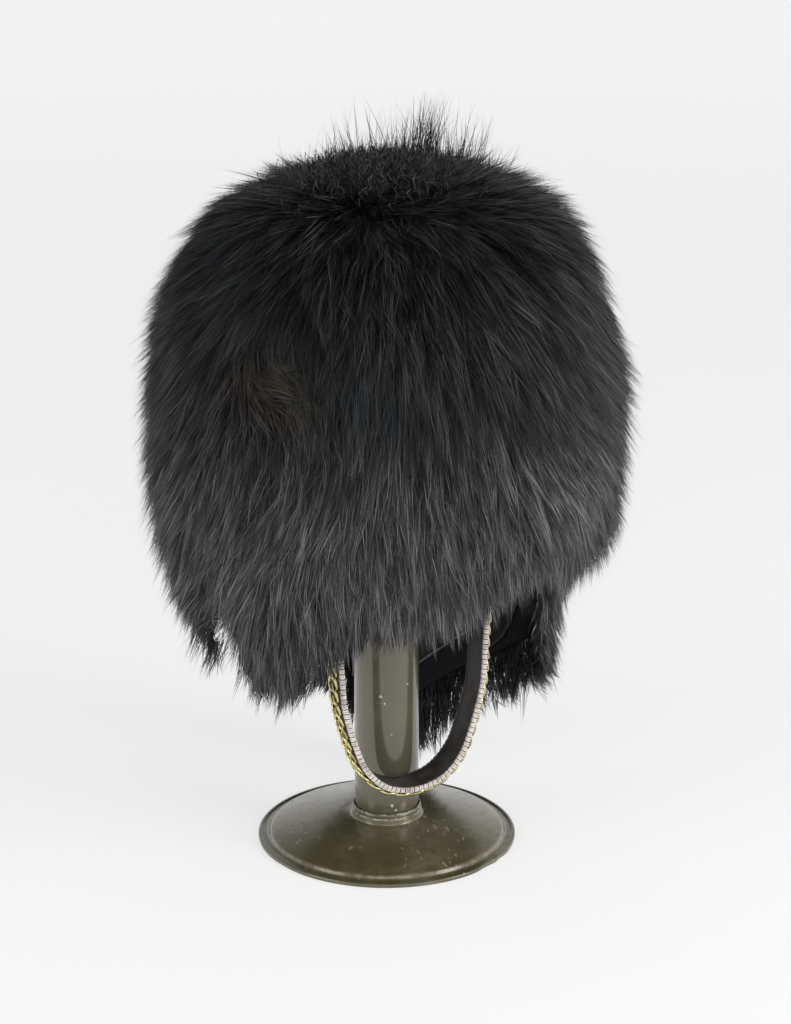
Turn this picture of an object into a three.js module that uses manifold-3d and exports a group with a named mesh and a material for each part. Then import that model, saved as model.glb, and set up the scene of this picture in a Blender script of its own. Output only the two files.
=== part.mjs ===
// A bearskin busby on its metal display stand, in millimetres, with +Z up and the front of the cap at -Y.
// The origin is on the axis of the stand, at the level of the surface that it stands on.
import * as THREE from "three";
import { mergeVertices } from "three/addons/utils/BufferGeometryUtils.js";
import Module from "manifold-3d";

const wasm = await Module();
wasm.setup();

// Clearance between pieces that touch on the real object
const SEAT_GAP = 0.3;

// Stand: a spun sheet dish with a stepped neck, a tube and a domed head
const BASE_DIAMETER = 184;
const BASE_SHEET = 2;
const RIM_HEIGHT = 3;
const RIM_ROLL = 4;
const RIM_BEVEL = 0.6;
const LIP_WIDTH = 7;
const SHOULDER_RUN = 2;
const SHOULDER_RISE = 3;
const DISH_RISE = 10;
const DISH_CROWNING = 1.6;
const DISH_SHARES = [1, 0.67, 0.33, 0];
const NECK_WALL = 1.1;
const NECK_STEP_WIDTH = 0.7;
const NECK_STEP_HEIGHT = 4.5;
const NECK_HEIGHT = 8.5;
const COLUMN_DIAMETER = 45.6;
const COLUMN_WALL = 2;
const STAND_HEIGHT = 441;
const HEAD_DIAMETER = 110;
const HEAD_DOME_RISE = 14;
const HEAD_DOME_POWER = 1.5;
const HEAD_DOME_SHARES = [1, 0.7, 0.35, 0];
const HEAD_EDGE = 6;
const HEAD_SPIGOT = 20;
const ROUND_SIDES = 32;

// Cap shell: a hollow wall, open below, high over the brow and low at the nape
const SHELL_HALF_WIDTH = 118;
const SHELL_HALF_DEPTH = 125;
const SHELL_WALL = 3;
const BACK_DROP = 385;
const SHELL_SIDES = 24;
const SHELL_SECTIONS = [
  { fall: 0.013, width: 0.45, depth: 0.45 },
  { fall: 0.05, width: 0.71, depth: 0.71 },
  { fall: 0.13, width: 0.91, depth: 0.91 },
  { fall: 0.245, width: 1.0, depth: 1.0 },
  { fall: 0.4, width: 0.94, depth: 0.96 },
  { fall: 0.6, width: 0.775, depth: 0.865 },
  { fall: 0.8, width: 0.745, depth: 0.845 },
  { fall: 1.0, width: 0.735, depth: 0.84 },
];
const DOME_ROWS = 4;
const WALL_SHARES = [0.5];
const SLOPE_REACH = 2;

// Headband: a leather band inside the shell, following its hem
const BAND_LIFT = 25;
const BAND_HEIGHT = 70;
const BAND_THICKNESS = 1.5;

// Fur: the hide lies on the shell, and its hair falls in tiers of pointed locks
const FUR_HALF_WIDTH = 162;
const FUR_HALF_DEPTH = 166;
const CROWN_HAIR = 43;
const FUR_BODY_DROP = 200;
const HEM_HAIR = 60;
const LOCKS_ROUND = 20;
const LOCK_POINT = 9;
const LOCK_GROOVE = 6;
const LOCK_LEDGE = 10;
const LOCK_SWELL = 2;
const LOCK_SWELL_SHARE = 0.68;
const LEDGE_LIFT = 3;
const HIDE_THICKNESS = 3;
const HEM_TUCK = 2;
const HIDE_CUT_REACH = 120;
const FUR_TIERS = [
  { reach: 0.42, fall: 0.045, hang: 0 },
  { reach: 0.7, fall: 0.14, hang: 0 },
  { reach: 0.845, fall: 0.3, hang: 0 },
  { reach: 0.93, fall: 0.49, hang: 0 },
  { reach: 0.985, fall: 0.7, hang: 0 },
  { reach: 1.0, fall: 0.93, hang: 0 },
  { reach: 0.99, fall: 1.0, hang: 0.2 },
  { reach: 0.955, fall: 1.0, hang: 0.6 },
  { reach: 0.87, fall: 1.0, hang: 1.0 },
];
const HEM = [
  { turn: -180, drop: 0.93, hair: 0.8, draw: 0.9 },
  { turn: -158, drop: 0.81, hair: 0.65, draw: 0.9 },
  { turn: -130, drop: 0.7, hair: 0.5, draw: 0.95 },
  { turn: -100, drop: 0.66, hair: 0.55, draw: 0.98 },
  { turn: -75, drop: 0.66, hair: 0.6, draw: 0.98 },
  { turn: -66, drop: 0.655, hair: 0.1, draw: 0.96 },
  { turn: -57, drop: 0.65, hair: 0.9, draw: 0.93 },
  { turn: -45, drop: 0.65, hair: 0.95, draw: 0.9 },
  { turn: -22, drop: 0.6, hair: 0.5, draw: 0.86 },
  { turn: 5, drop: 0.575, hair: 0.5, draw: 0.88 },
  { turn: 45, drop: 0.575, hair: 0.12, draw: 0.92 },
  { turn: 66, drop: 0.64, hair: 0.25, draw: 0.9 },
  { turn: 80, drop: 0.71, hair: 0.7, draw: 0.88 },
  { turn: 96, drop: 0.79, hair: 0.75, draw: 0.86 },
  { turn: 114, drop: 0.855, hair: 0.7, draw: 0.84 },
  { turn: 130, drop: 0.905, hair: 0.65, draw: 0.84 },
  { turn: 154, drop: 0.985, hair: 0.85, draw: 0.84 },
  { turn: 180, drop: 0.93, hair: 0.8, draw: 0.9 },
];
const TUFT_LOCKS = 10;
const TUFT_LENGTH = 46;
const TUFT_STAGGER = 0.23;
const TUFT_ROOT_DEPTH = 24;
const TUFT_LOCK_RADIUS = 8;
const TUFT_RING_RADIUS = 42;
const TUFT_INNER_SHARE = 0.55;
const TUFT_LEAN = 0.22;
const TUFT_SIDES = 4;

// Chin strap: a leather ribbon whose ends lie on the headband and whose loop hangs before the column
const STRAP_WIDTH = 24;
const STRAP_THICKNESS = 2.6;
const STRAP_DROP = 185;
const STRAP_END_DROP = 208;
const STRAP_END_GAP = 1.1;
const STRAP_STEPS = 36;
const STRAP_END_TURN = 82.5;
const STRAP_LOOP_TURN = 13;
const STRAP_SWAY = 8;
const COLUMN_CLEARANCE = 2.5;
const STRAP_ROUTE = [
  { down: 0.0, across: 1.0, forward: 0.0, leftTwist: 7, rightTwist: -7 },
  { down: 0.073, across: 0.915, forward: 0.08, leftTwist: 6, rightTwist: -2 },
  { down: 0.18, across: 0.76, forward: 0.42, leftTwist: 5, rightTwist: 5 },
  { down: 0.3, across: 0.65, forward: 0.8, leftTwist: 6, rightTwist: 10 },
  { down: 0.435, across: 0.6, forward: 0.96, leftTwist: 7, rightTwist: 12 },
  { down: 0.614, across: 0.574, forward: 1.0, leftTwist: 7, rightTwist: 12 },
  { down: 0.711, across: 0.531, forward: 1.0, leftTwist: 8, rightTwist: 12 },
  { down: 0.797, across: 0.478, forward: 1.0, leftTwist: 9, rightTwist: 12 },
  { down: 0.873, across: 0.418, forward: 1.0, leftTwist: 10, rightTwist: 12 },
  { down: 0.927, across: 0.341, forward: 1.0, leftTwist: 11, rightTwist: 13 },
  { down: 0.97, across: 0.24, forward: 1.0, leftTwist: 12, rightTwist: 13 },
  { down: 0.993, across: 0.12, forward: 1.0, leftTwist: 13, rightTwist: 13 },
];

// Chin chain: interlocking curb links that grow towards the chin, sewn a little nearer the strap's front edge
const CHAIN_HALF_LENGTH = 170;
const CHAIN_OFF_MIDDLE = -1.8;
const LINK_WIDTH = 18.6;
const END_LINK_WIDTH = 15;
const LINK_WIRE = 2.3;
const LINK_BITE = 0.55;
const LINK_PITCH = 0.55;
const LINK_BEND_LIMIT = 0.95;
const LINK_SEGMENTS = 10;
const WIRE_SIDES = 5;

const baseRadius = BASE_DIAMETER / 2;
const columnRadius = COLUMN_DIAMETER / 2;
const lipInner = baseRadius - LIP_WIDTH;
const dishOuter = lipInner - SHOULDER_RUN;
const neckBore = columnRadius + SEAT_GAP;
const neckRadius = neckBore + NECK_WALL;
const neckStepRadius = neckRadius + NECK_STEP_WIDTH;
const dishEdgeHeight = RIM_HEIGHT + SHOULDER_RISE;
const neckFoot = dishEdgeHeight + DISH_RISE;
const neckTop = neckFoot + NECK_HEIGHT;
const capSeat = STAND_HEIGHT + SEAT_GAP;

// Shape helpers

function polar(turn, halfWidth, halfDepth, z) {
  const angle = THREE.MathUtils.degToRad(turn);
  return new THREE.Vector3(halfWidth * Math.sin(angle), -halfDepth * Math.cos(angle), z);
}

// A closed skin over rings of points that run the same way; each end closes on a middle point.
function skin(rings, startPole, endPole) {
  const count = rings[0].length;
  const points = [...rings.flat(), startPole, endPole];
  const faces = [];
  const start = rings.length * count;
  rings.forEach((ring, r) => {
    for (let i = 0; i < count; i++) {
      const next = (i + 1) % count;
      const here = r * count;
      if (r === 0) faces.push(start, here + next, here + i);
      if (r === rings.length - 1) faces.push(start + 1, here + i, here + next);
      else faces.push(here + i, here + next, here + count + next, here + i, here + count + next, here + count + i);
    }
  });
  return indexed(points, faces);
}

// A closed skin over rings where the last ring joins the first, such as a tube bent into a ring.
function hoop(rings) {
  const count = rings[0].length;
  const faces = [];
  rings.forEach((_, r) => {
    const here = r * count;
    const after = ((r + 1) % rings.length) * count;
    for (let i = 0; i < count; i++) {
      const next = (i + 1) % count;
      faces.push(here + i, here + next, after + next, here + i, after + next, after + i);
    }
  });
  return indexed(rings.flat(), faces);
}

function indexed(points, faces) {
  const geometry = new THREE.BufferGeometry().setFromPoints(points);
  geometry.setIndex(faces);
  return geometry;
}

function middle(points) {
  return points.reduce((sum, p) => sum.add(p), new THREE.Vector3()).divideScalar(points.length);
}

// The solid of a closed geometry, turned right way out if its faces point inwards.
function solid(geometry) {
  const bare = new THREE.BufferGeometry();
  bare.setAttribute("position", geometry.getAttribute("position"));
  bare.setIndex(geometry.getIndex());
  const merged = mergeVertices(bare, 1e-4);
  const build = (corners) =>
    new wasm.Manifold(
      new wasm.Mesh({
        numProp: 3,
        vertProperties: new Float32Array(merged.getAttribute("position").array),
        triVerts: new Uint32Array(corners),
      }),
    );
  const corners = Array.from(merged.getIndex().array);
  const made = build(corners);
  return made.volume() > 0 ? made : build(corners.reverse());
}

function geometryOf(body) {
  const mesh = body.getMesh();
  const geometry = new THREE.BufferGeometry();
  geometry.setAttribute("position", new THREE.BufferAttribute(new Float32Array(mesh.vertProperties), 3));
  geometry.setIndex(new THREE.BufferAttribute(new Uint32Array(mesh.triVerts), 1));
  geometry.computeVertexNormals();
  return geometry;
}

function piece(name, body, material) {
  const mesh = new THREE.Mesh(geometryOf(body), material);
  mesh.name = name;
  return mesh;
}

function turned(profile) {
  const lathe = new THREE.LatheGeometry(profile.map(([r, z]) => new THREE.Vector2(r, z)), ROUND_SIDES);
  lathe.rotateX(Math.PI / 2);
  return solid(lathe);
}

function clamp01(value) {
  return THREE.MathUtils.clamp(value, 0, 1);
}

// The row values of a table at a place along one of its columns, straight between rows.
function between(rows, key, place, column) {
  const last = rows.length - 1;
  const upper = THREE.MathUtils.clamp(rows.findIndex((row) => row[key] >= place), 1, last);
  const [a, b] = [rows[upper - 1], rows[upper]];
  const index = rows[last][key] < place ? 1 : clamp01((place - a[key]) / (b[key] - a[key]));
  return THREE.MathUtils.lerp(a[column], b[column], index);
}

// Stand

// Height of the dish's upper side, slightly crowned between its shoulder and its neck.
function dishHeight(radius) {
  const share = (dishOuter - radius) / (dishOuter - neckStepRadius);
  return dishEdgeHeight + DISH_RISE * share + DISH_CROWNING * Math.sin(Math.PI * share);
}

function standBase() {
  const dishRadii = DISH_SHARES.map((share) =>
    THREE.MathUtils.lerp(neckStepRadius, dishOuter, share),
  );
  const upper = dishRadii.map((radius) => [radius, dishHeight(radius)]);
  const lower = dishRadii.map((radius) => [radius, dishHeight(radius) - BASE_SHEET]).reverse();
  return turned([
    [baseRadius, 0],
    [baseRadius, RIM_HEIGHT - RIM_BEVEL],
    [baseRadius - RIM_BEVEL, RIM_HEIGHT],
    [lipInner, RIM_HEIGHT],
    ...upper,
    [neckStepRadius, neckFoot + NECK_STEP_HEIGHT],
    [neckRadius, neckFoot + NECK_STEP_HEIGHT],
    [neckRadius, neckTop],
    [neckBore, neckTop],
    [neckBore, neckFoot - BASE_SHEET],
    ...lower,
    [lipInner - BASE_SHEET, RIM_HEIGHT - BASE_SHEET],
    [baseRadius - RIM_ROLL, RIM_HEIGHT - BASE_SHEET],
    [baseRadius - RIM_ROLL, 0],
    [baseRadius, 0],
  ]);
}

function standColumn() {
  const top = STAND_HEIGHT - HEAD_DOME_RISE - HEAD_EDGE - SEAT_GAP;
  const foot = neckFoot - BASE_SHEET;
  const inner = columnRadius - COLUMN_WALL;
  return turned([
    [columnRadius, foot],
    [columnRadius, top],
    [inner, top],
    [inner, foot],
    [columnRadius, foot],
  ]);
}

function standHead() {
  const radius = HEAD_DIAMETER / 2;
  const underside = STAND_HEIGHT - HEAD_DOME_RISE - HEAD_EDGE;
  const spigot = columnRadius - COLUMN_WALL - SEAT_GAP;
  const dome = HEAD_DOME_SHARES.map((share) => [
    radius * share,
    STAND_HEIGHT - HEAD_DOME_RISE * share ** HEAD_DOME_POWER,
  ]);
  return turned([
    [0, underside - HEAD_SPIGOT],
    [spigot, underside - HEAD_SPIGOT],
    [spigot, underside],
    [radius, underside],
    ...dome,
  ]);
}

// Cap shell, with its own height 0 where the crown rests on the head of the stand

const crownTop = SHELL_WALL;
const shellRows = [
  { fall: 0, width: 0, depth: 0 },
  ...SHELL_SECTIONS,
].map((row) => ({
  below: row.fall * BACK_DROP,
  halfWidth: row.width * SHELL_HALF_WIDTH,
  halfDepth: row.depth * SHELL_HALF_DEPTH,
}));

// The shell's outer surface at a height, moved inwards by a distance square to the wall.
function shellPoint(turn, z, inwards) {
  const below = crownTop - z;
  const halfWidth = between(shellRows, "below", below, "halfWidth");
  const halfDepth = between(shellRows, "below", below, "halfDepth");
  const above = between(shellRows, "below", below - SLOPE_REACH, "halfWidth");
  const under = between(shellRows, "below", below + SLOPE_REACH, "halfWidth");
  const slope = new THREE.Vector2(2 * SLOPE_REACH, under - above).normalize();
  return polar(turn, halfWidth - inwards * slope.x, halfDepth - inwards * slope.x, z - inwards * slope.y);
}

function hemHeight(turn) {
  return crownTop - BACK_DROP * between(HEM, "turn", turn, "drop");
}

// Heights of the shell's rings in one upright half plane, from the dome down to the hem.
function shellLevels(turn) {
  const dome = shellRows.slice(1, 1 + DOME_ROWS).map((row) => crownTop - row.below);
  const hem = hemHeight(turn);
  const bandTop = hem + BAND_LIFT + BAND_HEIGHT;
  const walls = WALL_SHARES.map((share) => THREE.MathUtils.lerp(dome[DOME_ROWS - 1], bandTop, share));
  return [...dome, ...walls, bandTop, hem + BAND_LIFT, hem];
}

const shellTurns = Array.from({ length: SHELL_SIDES }, (_, i) => (360 * i) / SHELL_SIDES - 180);
const bandTopLevel = DOME_ROWS + WALL_SHARES.length;
const hemLevel = bandTopLevel + 2;

function shellRing(level, inwards) {
  return shellTurns.map((turn) => shellPoint(turn, shellLevels(turn)[level], inwards));
}

function shellRings(inwards) {
  return Array.from({ length: hemLevel + 1 }, (_, level) => shellRing(level, inwards));
}

function apex(inwards) {
  return new THREE.Vector3(0, 0, crownTop - inwards);
}

function capShell() {
  return solid(skin([...shellRings(0), ...shellRings(SHELL_WALL).reverse()], apex(0), apex(SHELL_WALL)));
}

const bandOuter = SHELL_WALL + SEAT_GAP;
const bandInner = bandOuter + BAND_THICKNESS;

function headband() {
  const rings = [
    shellRing(bandTopLevel + 1, bandOuter),
    shellRing(bandTopLevel, bandOuter),
    shellRing(bandTopLevel, bandInner),
    shellRing(bandTopLevel + 1, bandInner),
  ];
  return solid(hoop(rings));
}

// Fur

const furApex = crownTop + CROWN_HAIR;

// A point of the fur's outer envelope in one upright half plane: reach outwards and height.
function tierPlace(tier, turn) {
  const tips = hemHeight(turn) - HEM_HAIR * between(HEM, "turn", turn, "hair");
  const body = furApex - tier.fall * FUR_BODY_DROP;
  const draw = THREE.MathUtils.lerp(1, between(HEM, "turn", turn, "draw"), tier.hang);
  return { reach: tier.reach * draw, z: THREE.MathUtils.lerp(body, tips, tier.hang) };
}

function envelopePoint(turn, place, outwards) {
  return polar(
    turn,
    place.reach * FUR_HALF_WIDTH + outwards,
    place.reach * FUR_HALF_DEPTH + outwards,
    place.z,
  );
}

// The way the hair falls from one place of the envelope to the next, and the way out from it.
function flow(from, to) {
  const along = new THREE.Vector2((to.reach - from.reach) * FUR_HALF_WIDTH, to.z - from.z).normalize();
  return { along, out: new THREE.Vector2(-along.y, along.x) };
}

function moved(turn, place, direction, alongBy, outBy) {
  const out = direction.along.x * alongBy + direction.out.x * outBy;
  const up = direction.along.y * alongBy + direction.out.y * outBy;
  return envelopePoint(turn, { reach: place.reach, z: place.z + up }, out);
}

function furRings() {
  const columns = 2 * LOCKS_ROUND;
  const turns = Array.from({ length: columns }, (_, i) => (360 * i) / columns - 180);
  const rings = [];
  FUR_TIERS.forEach((tier, k) => {
    const above = k === 0 ? { reach: 0, fall: 0, hang: 0 } : FUR_TIERS[k - 1];
    const swell = [];
    const tips = [];
    const ledge = [];
    turns.forEach((turn, i) => {
      const from = tierPlace(above, turn);
      const to = tierPlace(tier, turn);
      const direction = flow(from, to);
      const pointed = (i + k) % 2 === 0;
      const mid = {
        reach: THREE.MathUtils.lerp(from.reach, to.reach, LOCK_SWELL_SHARE),
        z: THREE.MathUtils.lerp(from.z, to.z, LOCK_SWELL_SHARE),
      };
      swell.push(moved(turn, mid, direction, 0, pointed ? LOCK_SWELL : LOCK_SWELL - LOCK_GROOVE));
      tips.push(moved(turn, to, direction, pointed ? LOCK_POINT : -LOCK_POINT, pointed ? 0 : -LOCK_GROOVE));
      ledge.push(moved(turn, to, direction, -LEDGE_LIFT, -LOCK_LEDGE));
    });
    rings.push(swell, tips);
    if (k < FUR_TIERS.length - 1) rings.push(ledge);
  });
  const tuck = turns.map((turn) => shellPoint(turn, hemHeight(turn) - HEM_TUCK, -HIDE_THICKNESS));
  rings.push(tuck);
  return rings;
}

// Short locks that stand up round the crown of the cap.
function tuftLock(index) {
  const turn = (360 * index) / TUFT_LOCKS;
  const radius = TUFT_RING_RADIUS * (index % 2 ? 1 : TUFT_INNER_SHARE);
  const foot = polar(turn, radius, radius, furApex - TUFT_ROOT_DEPTH);
  const tall = TUFT_LENGTH * (1 - TUFT_STAGGER * (index % 3));
  const tip = foot.clone().add(polar(turn, tall * TUFT_LEAN, tall * TUFT_LEAN, tall));
  const ring = Array.from({ length: TUFT_SIDES }, (_, i) =>
    polar((360 * i) / TUFT_SIDES, TUFT_LOCK_RADIUS, TUFT_LOCK_RADIUS, 0).add(foot),
  );
  return solid(skin([ring], foot, tip));
}

// The space that the shell takes up, reaching down past the hair.
function shellPlug() {
  const rings = shellRings(-SEAT_GAP);
  const below = rings[hemLevel].map((p) => p.clone().setZ(p.z - HIDE_CUT_REACH));
  return solid(skin([...rings, below], apex(-SEAT_GAP), middle(below)));
}

function fur() {
  const rings = furRings();
  const top = new THREE.Vector3(0, 0, furApex);
  let body = solid(skin(rings, top, middle(rings[rings.length - 1])));
  for (let i = 0; i < TUFT_LOCKS; i++) body = body.add(tuftLock(i));
  return body.subtract(shellPlug());
}

// Chin strap

// Where a strap end lies on the flat of the headband, on the wearer's right (-1) or left (+1).
function strapEnd(side) {
  const turn = side * STRAP_END_TURN;
  const half = 180 / SHELL_SIDES;
  const z = crownTop - STRAP_END_DROP;
  const flat = middle([shellPoint(turn - half, z, bandInner), shellPoint(turn + half, z, bandInner)]);
  const inwards = new THREE.Vector3(-side, 0, 0);
  return flat.addScaledVector(inwards, STRAP_END_GAP + STRAP_THICKNESS / 2);
}

function strapPoint(row, side) {
  const end = strapEnd(side);
  const chinForward = -(columnRadius + COLUMN_CLEARANCE + STRAP_WIDTH / 2);
  const x = end.x * row.across + STRAP_SWAY * row.forward;
  const loopForward = chinForward + x * Math.tan(THREE.MathUtils.degToRad(STRAP_LOOP_TURN));
  return new THREE.Vector3(
    x,
    THREE.MathUtils.lerp(end.y, loopForward, row.forward),
    end.z - row.down * STRAP_DROP,
  );
}

const strapChin = { down: 1, across: 0, forward: 1 };
const strapPlaces = [
  ...STRAP_ROUTE.map((row) => ({ at: strapPoint(row, -1), twist: row.leftTwist })),
  { at: strapPoint(strapChin, 1), twist: STRAP_LOOP_TURN },
  ...STRAP_ROUTE.map((row) => ({ at: strapPoint(row, 1), twist: row.rightTwist })).reverse(),
];
const strapCurve = new THREE.CatmullRomCurve3(strapPlaces.map((place) => place.at), false, "centripetal");
strapCurve.arcLengthDivisions = 800;
const strapLength = strapCurve.getLength();

// The strap's middle, and its ways along, across and out from the loop, at a distance from its first end.
function strapFrame(distance) {
  const share = clamp01(distance / strapLength);
  const at = strapCurve.getPointAt(share);
  const along = strapCurve.getTangentAt(share);
  const spot = strapCurve.getUtoTmapping(share) * (strapPlaces.length - 1);
  const row = Math.min(Math.floor(spot), strapPlaces.length - 2);
  const twist = THREE.MathUtils.degToRad(
    THREE.MathUtils.lerp(strapPlaces[row].twist, strapPlaces[row + 1].twist, spot - row),
  );
  const across = new THREE.Vector3(-Math.sin(twist), Math.cos(twist), 0);
  across.addScaledVector(along, -across.dot(along)).normalize();
  const out = new THREE.Vector3().crossVectors(across, along);
  return { at, along, across, out };
}

function onStrap(distance, across, out) {
  const frame = strapFrame(distance);
  return frame.at.clone().addScaledVector(frame.across, across).addScaledVector(frame.out, out);
}

function chinStrap() {
  const [w, t] = [STRAP_WIDTH / 2, STRAP_THICKNESS / 2];
  const section = [
    [w, t],
    [-w, t],
    [-w, -t],
    [w, -t],
  ];
  const rings = Array.from({ length: STRAP_STEPS + 1 }, (_, i) =>
    section.map(([across, out]) => onStrap((strapLength * i) / STRAP_STEPS, across, out)),
  );
  return solid(skin(rings, strapFrame(0).at, strapFrame(strapLength).at));
}

// Chin chain

function linkWidth(fromChin) {
  const share = clamp01(Math.abs(fromChin) / CHAIN_HALF_LENGTH);
  return THREE.MathUtils.lerp(LINK_WIDTH, END_LINK_WIDTH, share);
}

// One curb link: a ring whose wire rises and dips twice round, so that its neighbours pass through it.
function curbLink(fromChin) {
  const radius = (linkWidth(fromChin) - LINK_WIRE) / 2;
  const wire = LINK_WIRE / 2;
  const crossing = Math.acos(Math.min(LINK_BEND_LIMIT, (linkWidth(fromChin) * LINK_PITCH) / (2 * radius)));
  const rise = (LINK_WIRE - LINK_BITE) / (2 * Math.sin(2 * crossing));
  const lift = STRAP_THICKNESS / 2 + SEAT_GAP + rise + wire;
  const rings = Array.from({ length: LINK_SEGMENTS }, (_, i) => {
    const angle = (2 * Math.PI * i) / LINK_SEGMENTS;
    return Array.from({ length: WIRE_SIDES }, (_, j) => {
      const round = (2 * Math.PI * j) / WIRE_SIDES + Math.PI / 2;
      const reach = radius + wire * Math.cos(round);
      const along = strapLength / 2 + fromChin + reach * Math.cos(angle);
      const across = CHAIN_OFF_MIDDLE + reach * Math.sin(angle);
      return onStrap(along, across, lift + rise * Math.sin(2 * angle) + wire * Math.sin(round));
    });
  });
  return solid(hoop(rings));
}

function chinChain() {
  let chain = curbLink(0);
  for (const side of [-1, 1]) {
    let place = linkWidth(0) * LINK_PITCH;
    while (place < CHAIN_HALF_LENGTH) {
      chain = chain.add(curbLink(side * place));
      place += linkWidth(place) * LINK_PITCH;
    }
  }
  return chain;
}

// Materials

const paint = new THREE.MeshStandardMaterial({ color: 0x55523f, roughness: 0.35, metalness: 0.0 });
const hair = new THREE.MeshStandardMaterial({ color: 0x1b1a1c, roughness: 0.7, metalness: 0.0 });
const lining = new THREE.MeshStandardMaterial({ color: 0x161518, roughness: 0.8, metalness: 0.0 });
const blackLeather = new THREE.MeshStandardMaterial({ color: 0x2a292b, roughness: 0.6, metalness: 0.0 });
const brownLeather = new THREE.MeshStandardMaterial({ color: 0x4a4444, roughness: 0.6, metalness: 0.0 });
const brass = new THREE.MeshStandardMaterial({ color: 0xb9a455, roughness: 0.3, metalness: 1.0 });

const stand = new THREE.Group();
stand.add(piece("stand_base", standBase(), paint));
stand.add(piece("stand_column", standColumn(), paint));
stand.add(piece("stand_head", standHead(), paint));

const cap = new THREE.Group();
cap.position.z = capSeat;
cap.add(piece("cap_shell", capShell(), lining));
cap.add(piece("headband", headband(), blackLeather));
cap.add(piece("fur", fur(), hair));
cap.add(piece("chin_strap", chinStrap(), brownLeather));
cap.add(piece("chin_chain", chinChain(), brass));

const busbyOnStand = new THREE.Group();
busbyOnStand.add(stand, cap);

export default busbyOnStand;
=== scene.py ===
import math

import bpy
import numpy as np
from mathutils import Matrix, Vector


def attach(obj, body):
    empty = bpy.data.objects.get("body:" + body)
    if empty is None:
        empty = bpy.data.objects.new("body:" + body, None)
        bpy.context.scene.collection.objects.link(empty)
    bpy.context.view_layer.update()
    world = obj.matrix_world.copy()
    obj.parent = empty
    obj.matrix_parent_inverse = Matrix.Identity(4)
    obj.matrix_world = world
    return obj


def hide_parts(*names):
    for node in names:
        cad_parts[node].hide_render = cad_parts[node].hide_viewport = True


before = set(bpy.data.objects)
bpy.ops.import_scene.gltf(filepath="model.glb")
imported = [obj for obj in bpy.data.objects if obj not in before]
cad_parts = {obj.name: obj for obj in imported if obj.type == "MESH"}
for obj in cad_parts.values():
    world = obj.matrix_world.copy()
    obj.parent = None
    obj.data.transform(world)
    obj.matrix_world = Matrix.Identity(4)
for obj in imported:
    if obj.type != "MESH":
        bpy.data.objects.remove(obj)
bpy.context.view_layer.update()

# Stand: base
# A dish spun from sheet steel with a flat lip, a rolled edge and a stepped neck that holds the tube.
# It is painted olive drab in semi-gloss, scuffed down to paler paint, and its lip is knocked in at one side.

BASE_RADIUS = 0.092
BASE_SHEET = 0.002
LIP_WIDTH = 0.007
RIM_HEIGHT = 0.003
RIM_ROLL = 0.004
SHOULDER_RUN = 0.002
SHOULDER_RISE = 0.003
DISH_RISE = 0.010
DISH_CROWNING = 0.0016
DENTED_ABOVE = 0.0015
TUBE_RADIUS = 0.0228
SEAT_GAP = 0.0003
NECK_WALL = 0.0011
NECK_STEP = 0.0007
NECK_STEP_HEIGHT = 0.0045
NECK_HEIGHT = 0.0085


def table(columns, *rows):
    """Rows of values under named columns."""
    return [dict(zip(columns.split(), row)) for row in rows]


RIM_DENTS = table(
    "turn spread depth",
    (38, 5, 0.0014),
    (49, 3, 0.0009),
    (-64, 6, 0.0005),
)
OLIVE = (0.080, 0.072, 0.034)
OLIVE_DARK = (0.046, 0.041, 0.018)
OLIVE_WORN = (0.150, 0.138, 0.090)
SCRATCHED = (0.30, 0.27, 0.14)
RUBBED_THIN = (0.34, 0.31, 0.22)
BARE_STEEL = (0.52, 0.51, 0.46)


class Value:
    """One output of a shader's nodes, on which arithmetic adds Math nodes."""

    def __init__(self, nodes, socket):
        self.nodes = nodes
        self.socket = socket

    def math(self, operation, first, second=0.0):
        return self.nodes.node("ShaderNodeMath", {"operation": operation}, {0: first, 1: second})

    def __add__(self, other):
        return self.math("ADD", self, other)

    def __radd__(self, other):
        return self.math("ADD", other, self)

    def __sub__(self, other):
        return self.math("SUBTRACT", self, other)

    def __rsub__(self, other):
        return self.math("SUBTRACT", other, self)

    def __mul__(self, other):
        return self.math("MULTIPLY", self, other)

    def __rmul__(self, other):
        return self.math("MULTIPLY", other, self)

    def __pow__(self, other):
        return self.math("POWER", self, other)

    def at_most(self, limit):
        return self.math("MINIMUM", self, limit)

    def ramp(self, low, high, start=0.0, end=1.0):
        """Goes smoothly from start to end as this value goes from low to high."""
        inputs = {"Value": self, "From Min": low, "From Max": high, "To Min": start, "To Max": end}
        return self.nodes.node("ShaderNodeMapRange", {"interpolation_type": "SMOOTHSTEP"}, inputs)

    def ridge(self, middle, half):
        """1 where this value is at the middle, and 0 where it is further off than half."""
        return 1 - self.math("ABSOLUTE", self - middle).ramp(0.0, half)

    def blend(self, first, second):
        """The colour that goes from first to second as this value goes from 0 to 1."""
        inputs = {"Factor": self, "A_Color": first, "B_Color": second}
        return self.nodes.node("ShaderNodeMix", {"data_type": "RGBA"}, inputs, "Result_Color")


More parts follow.
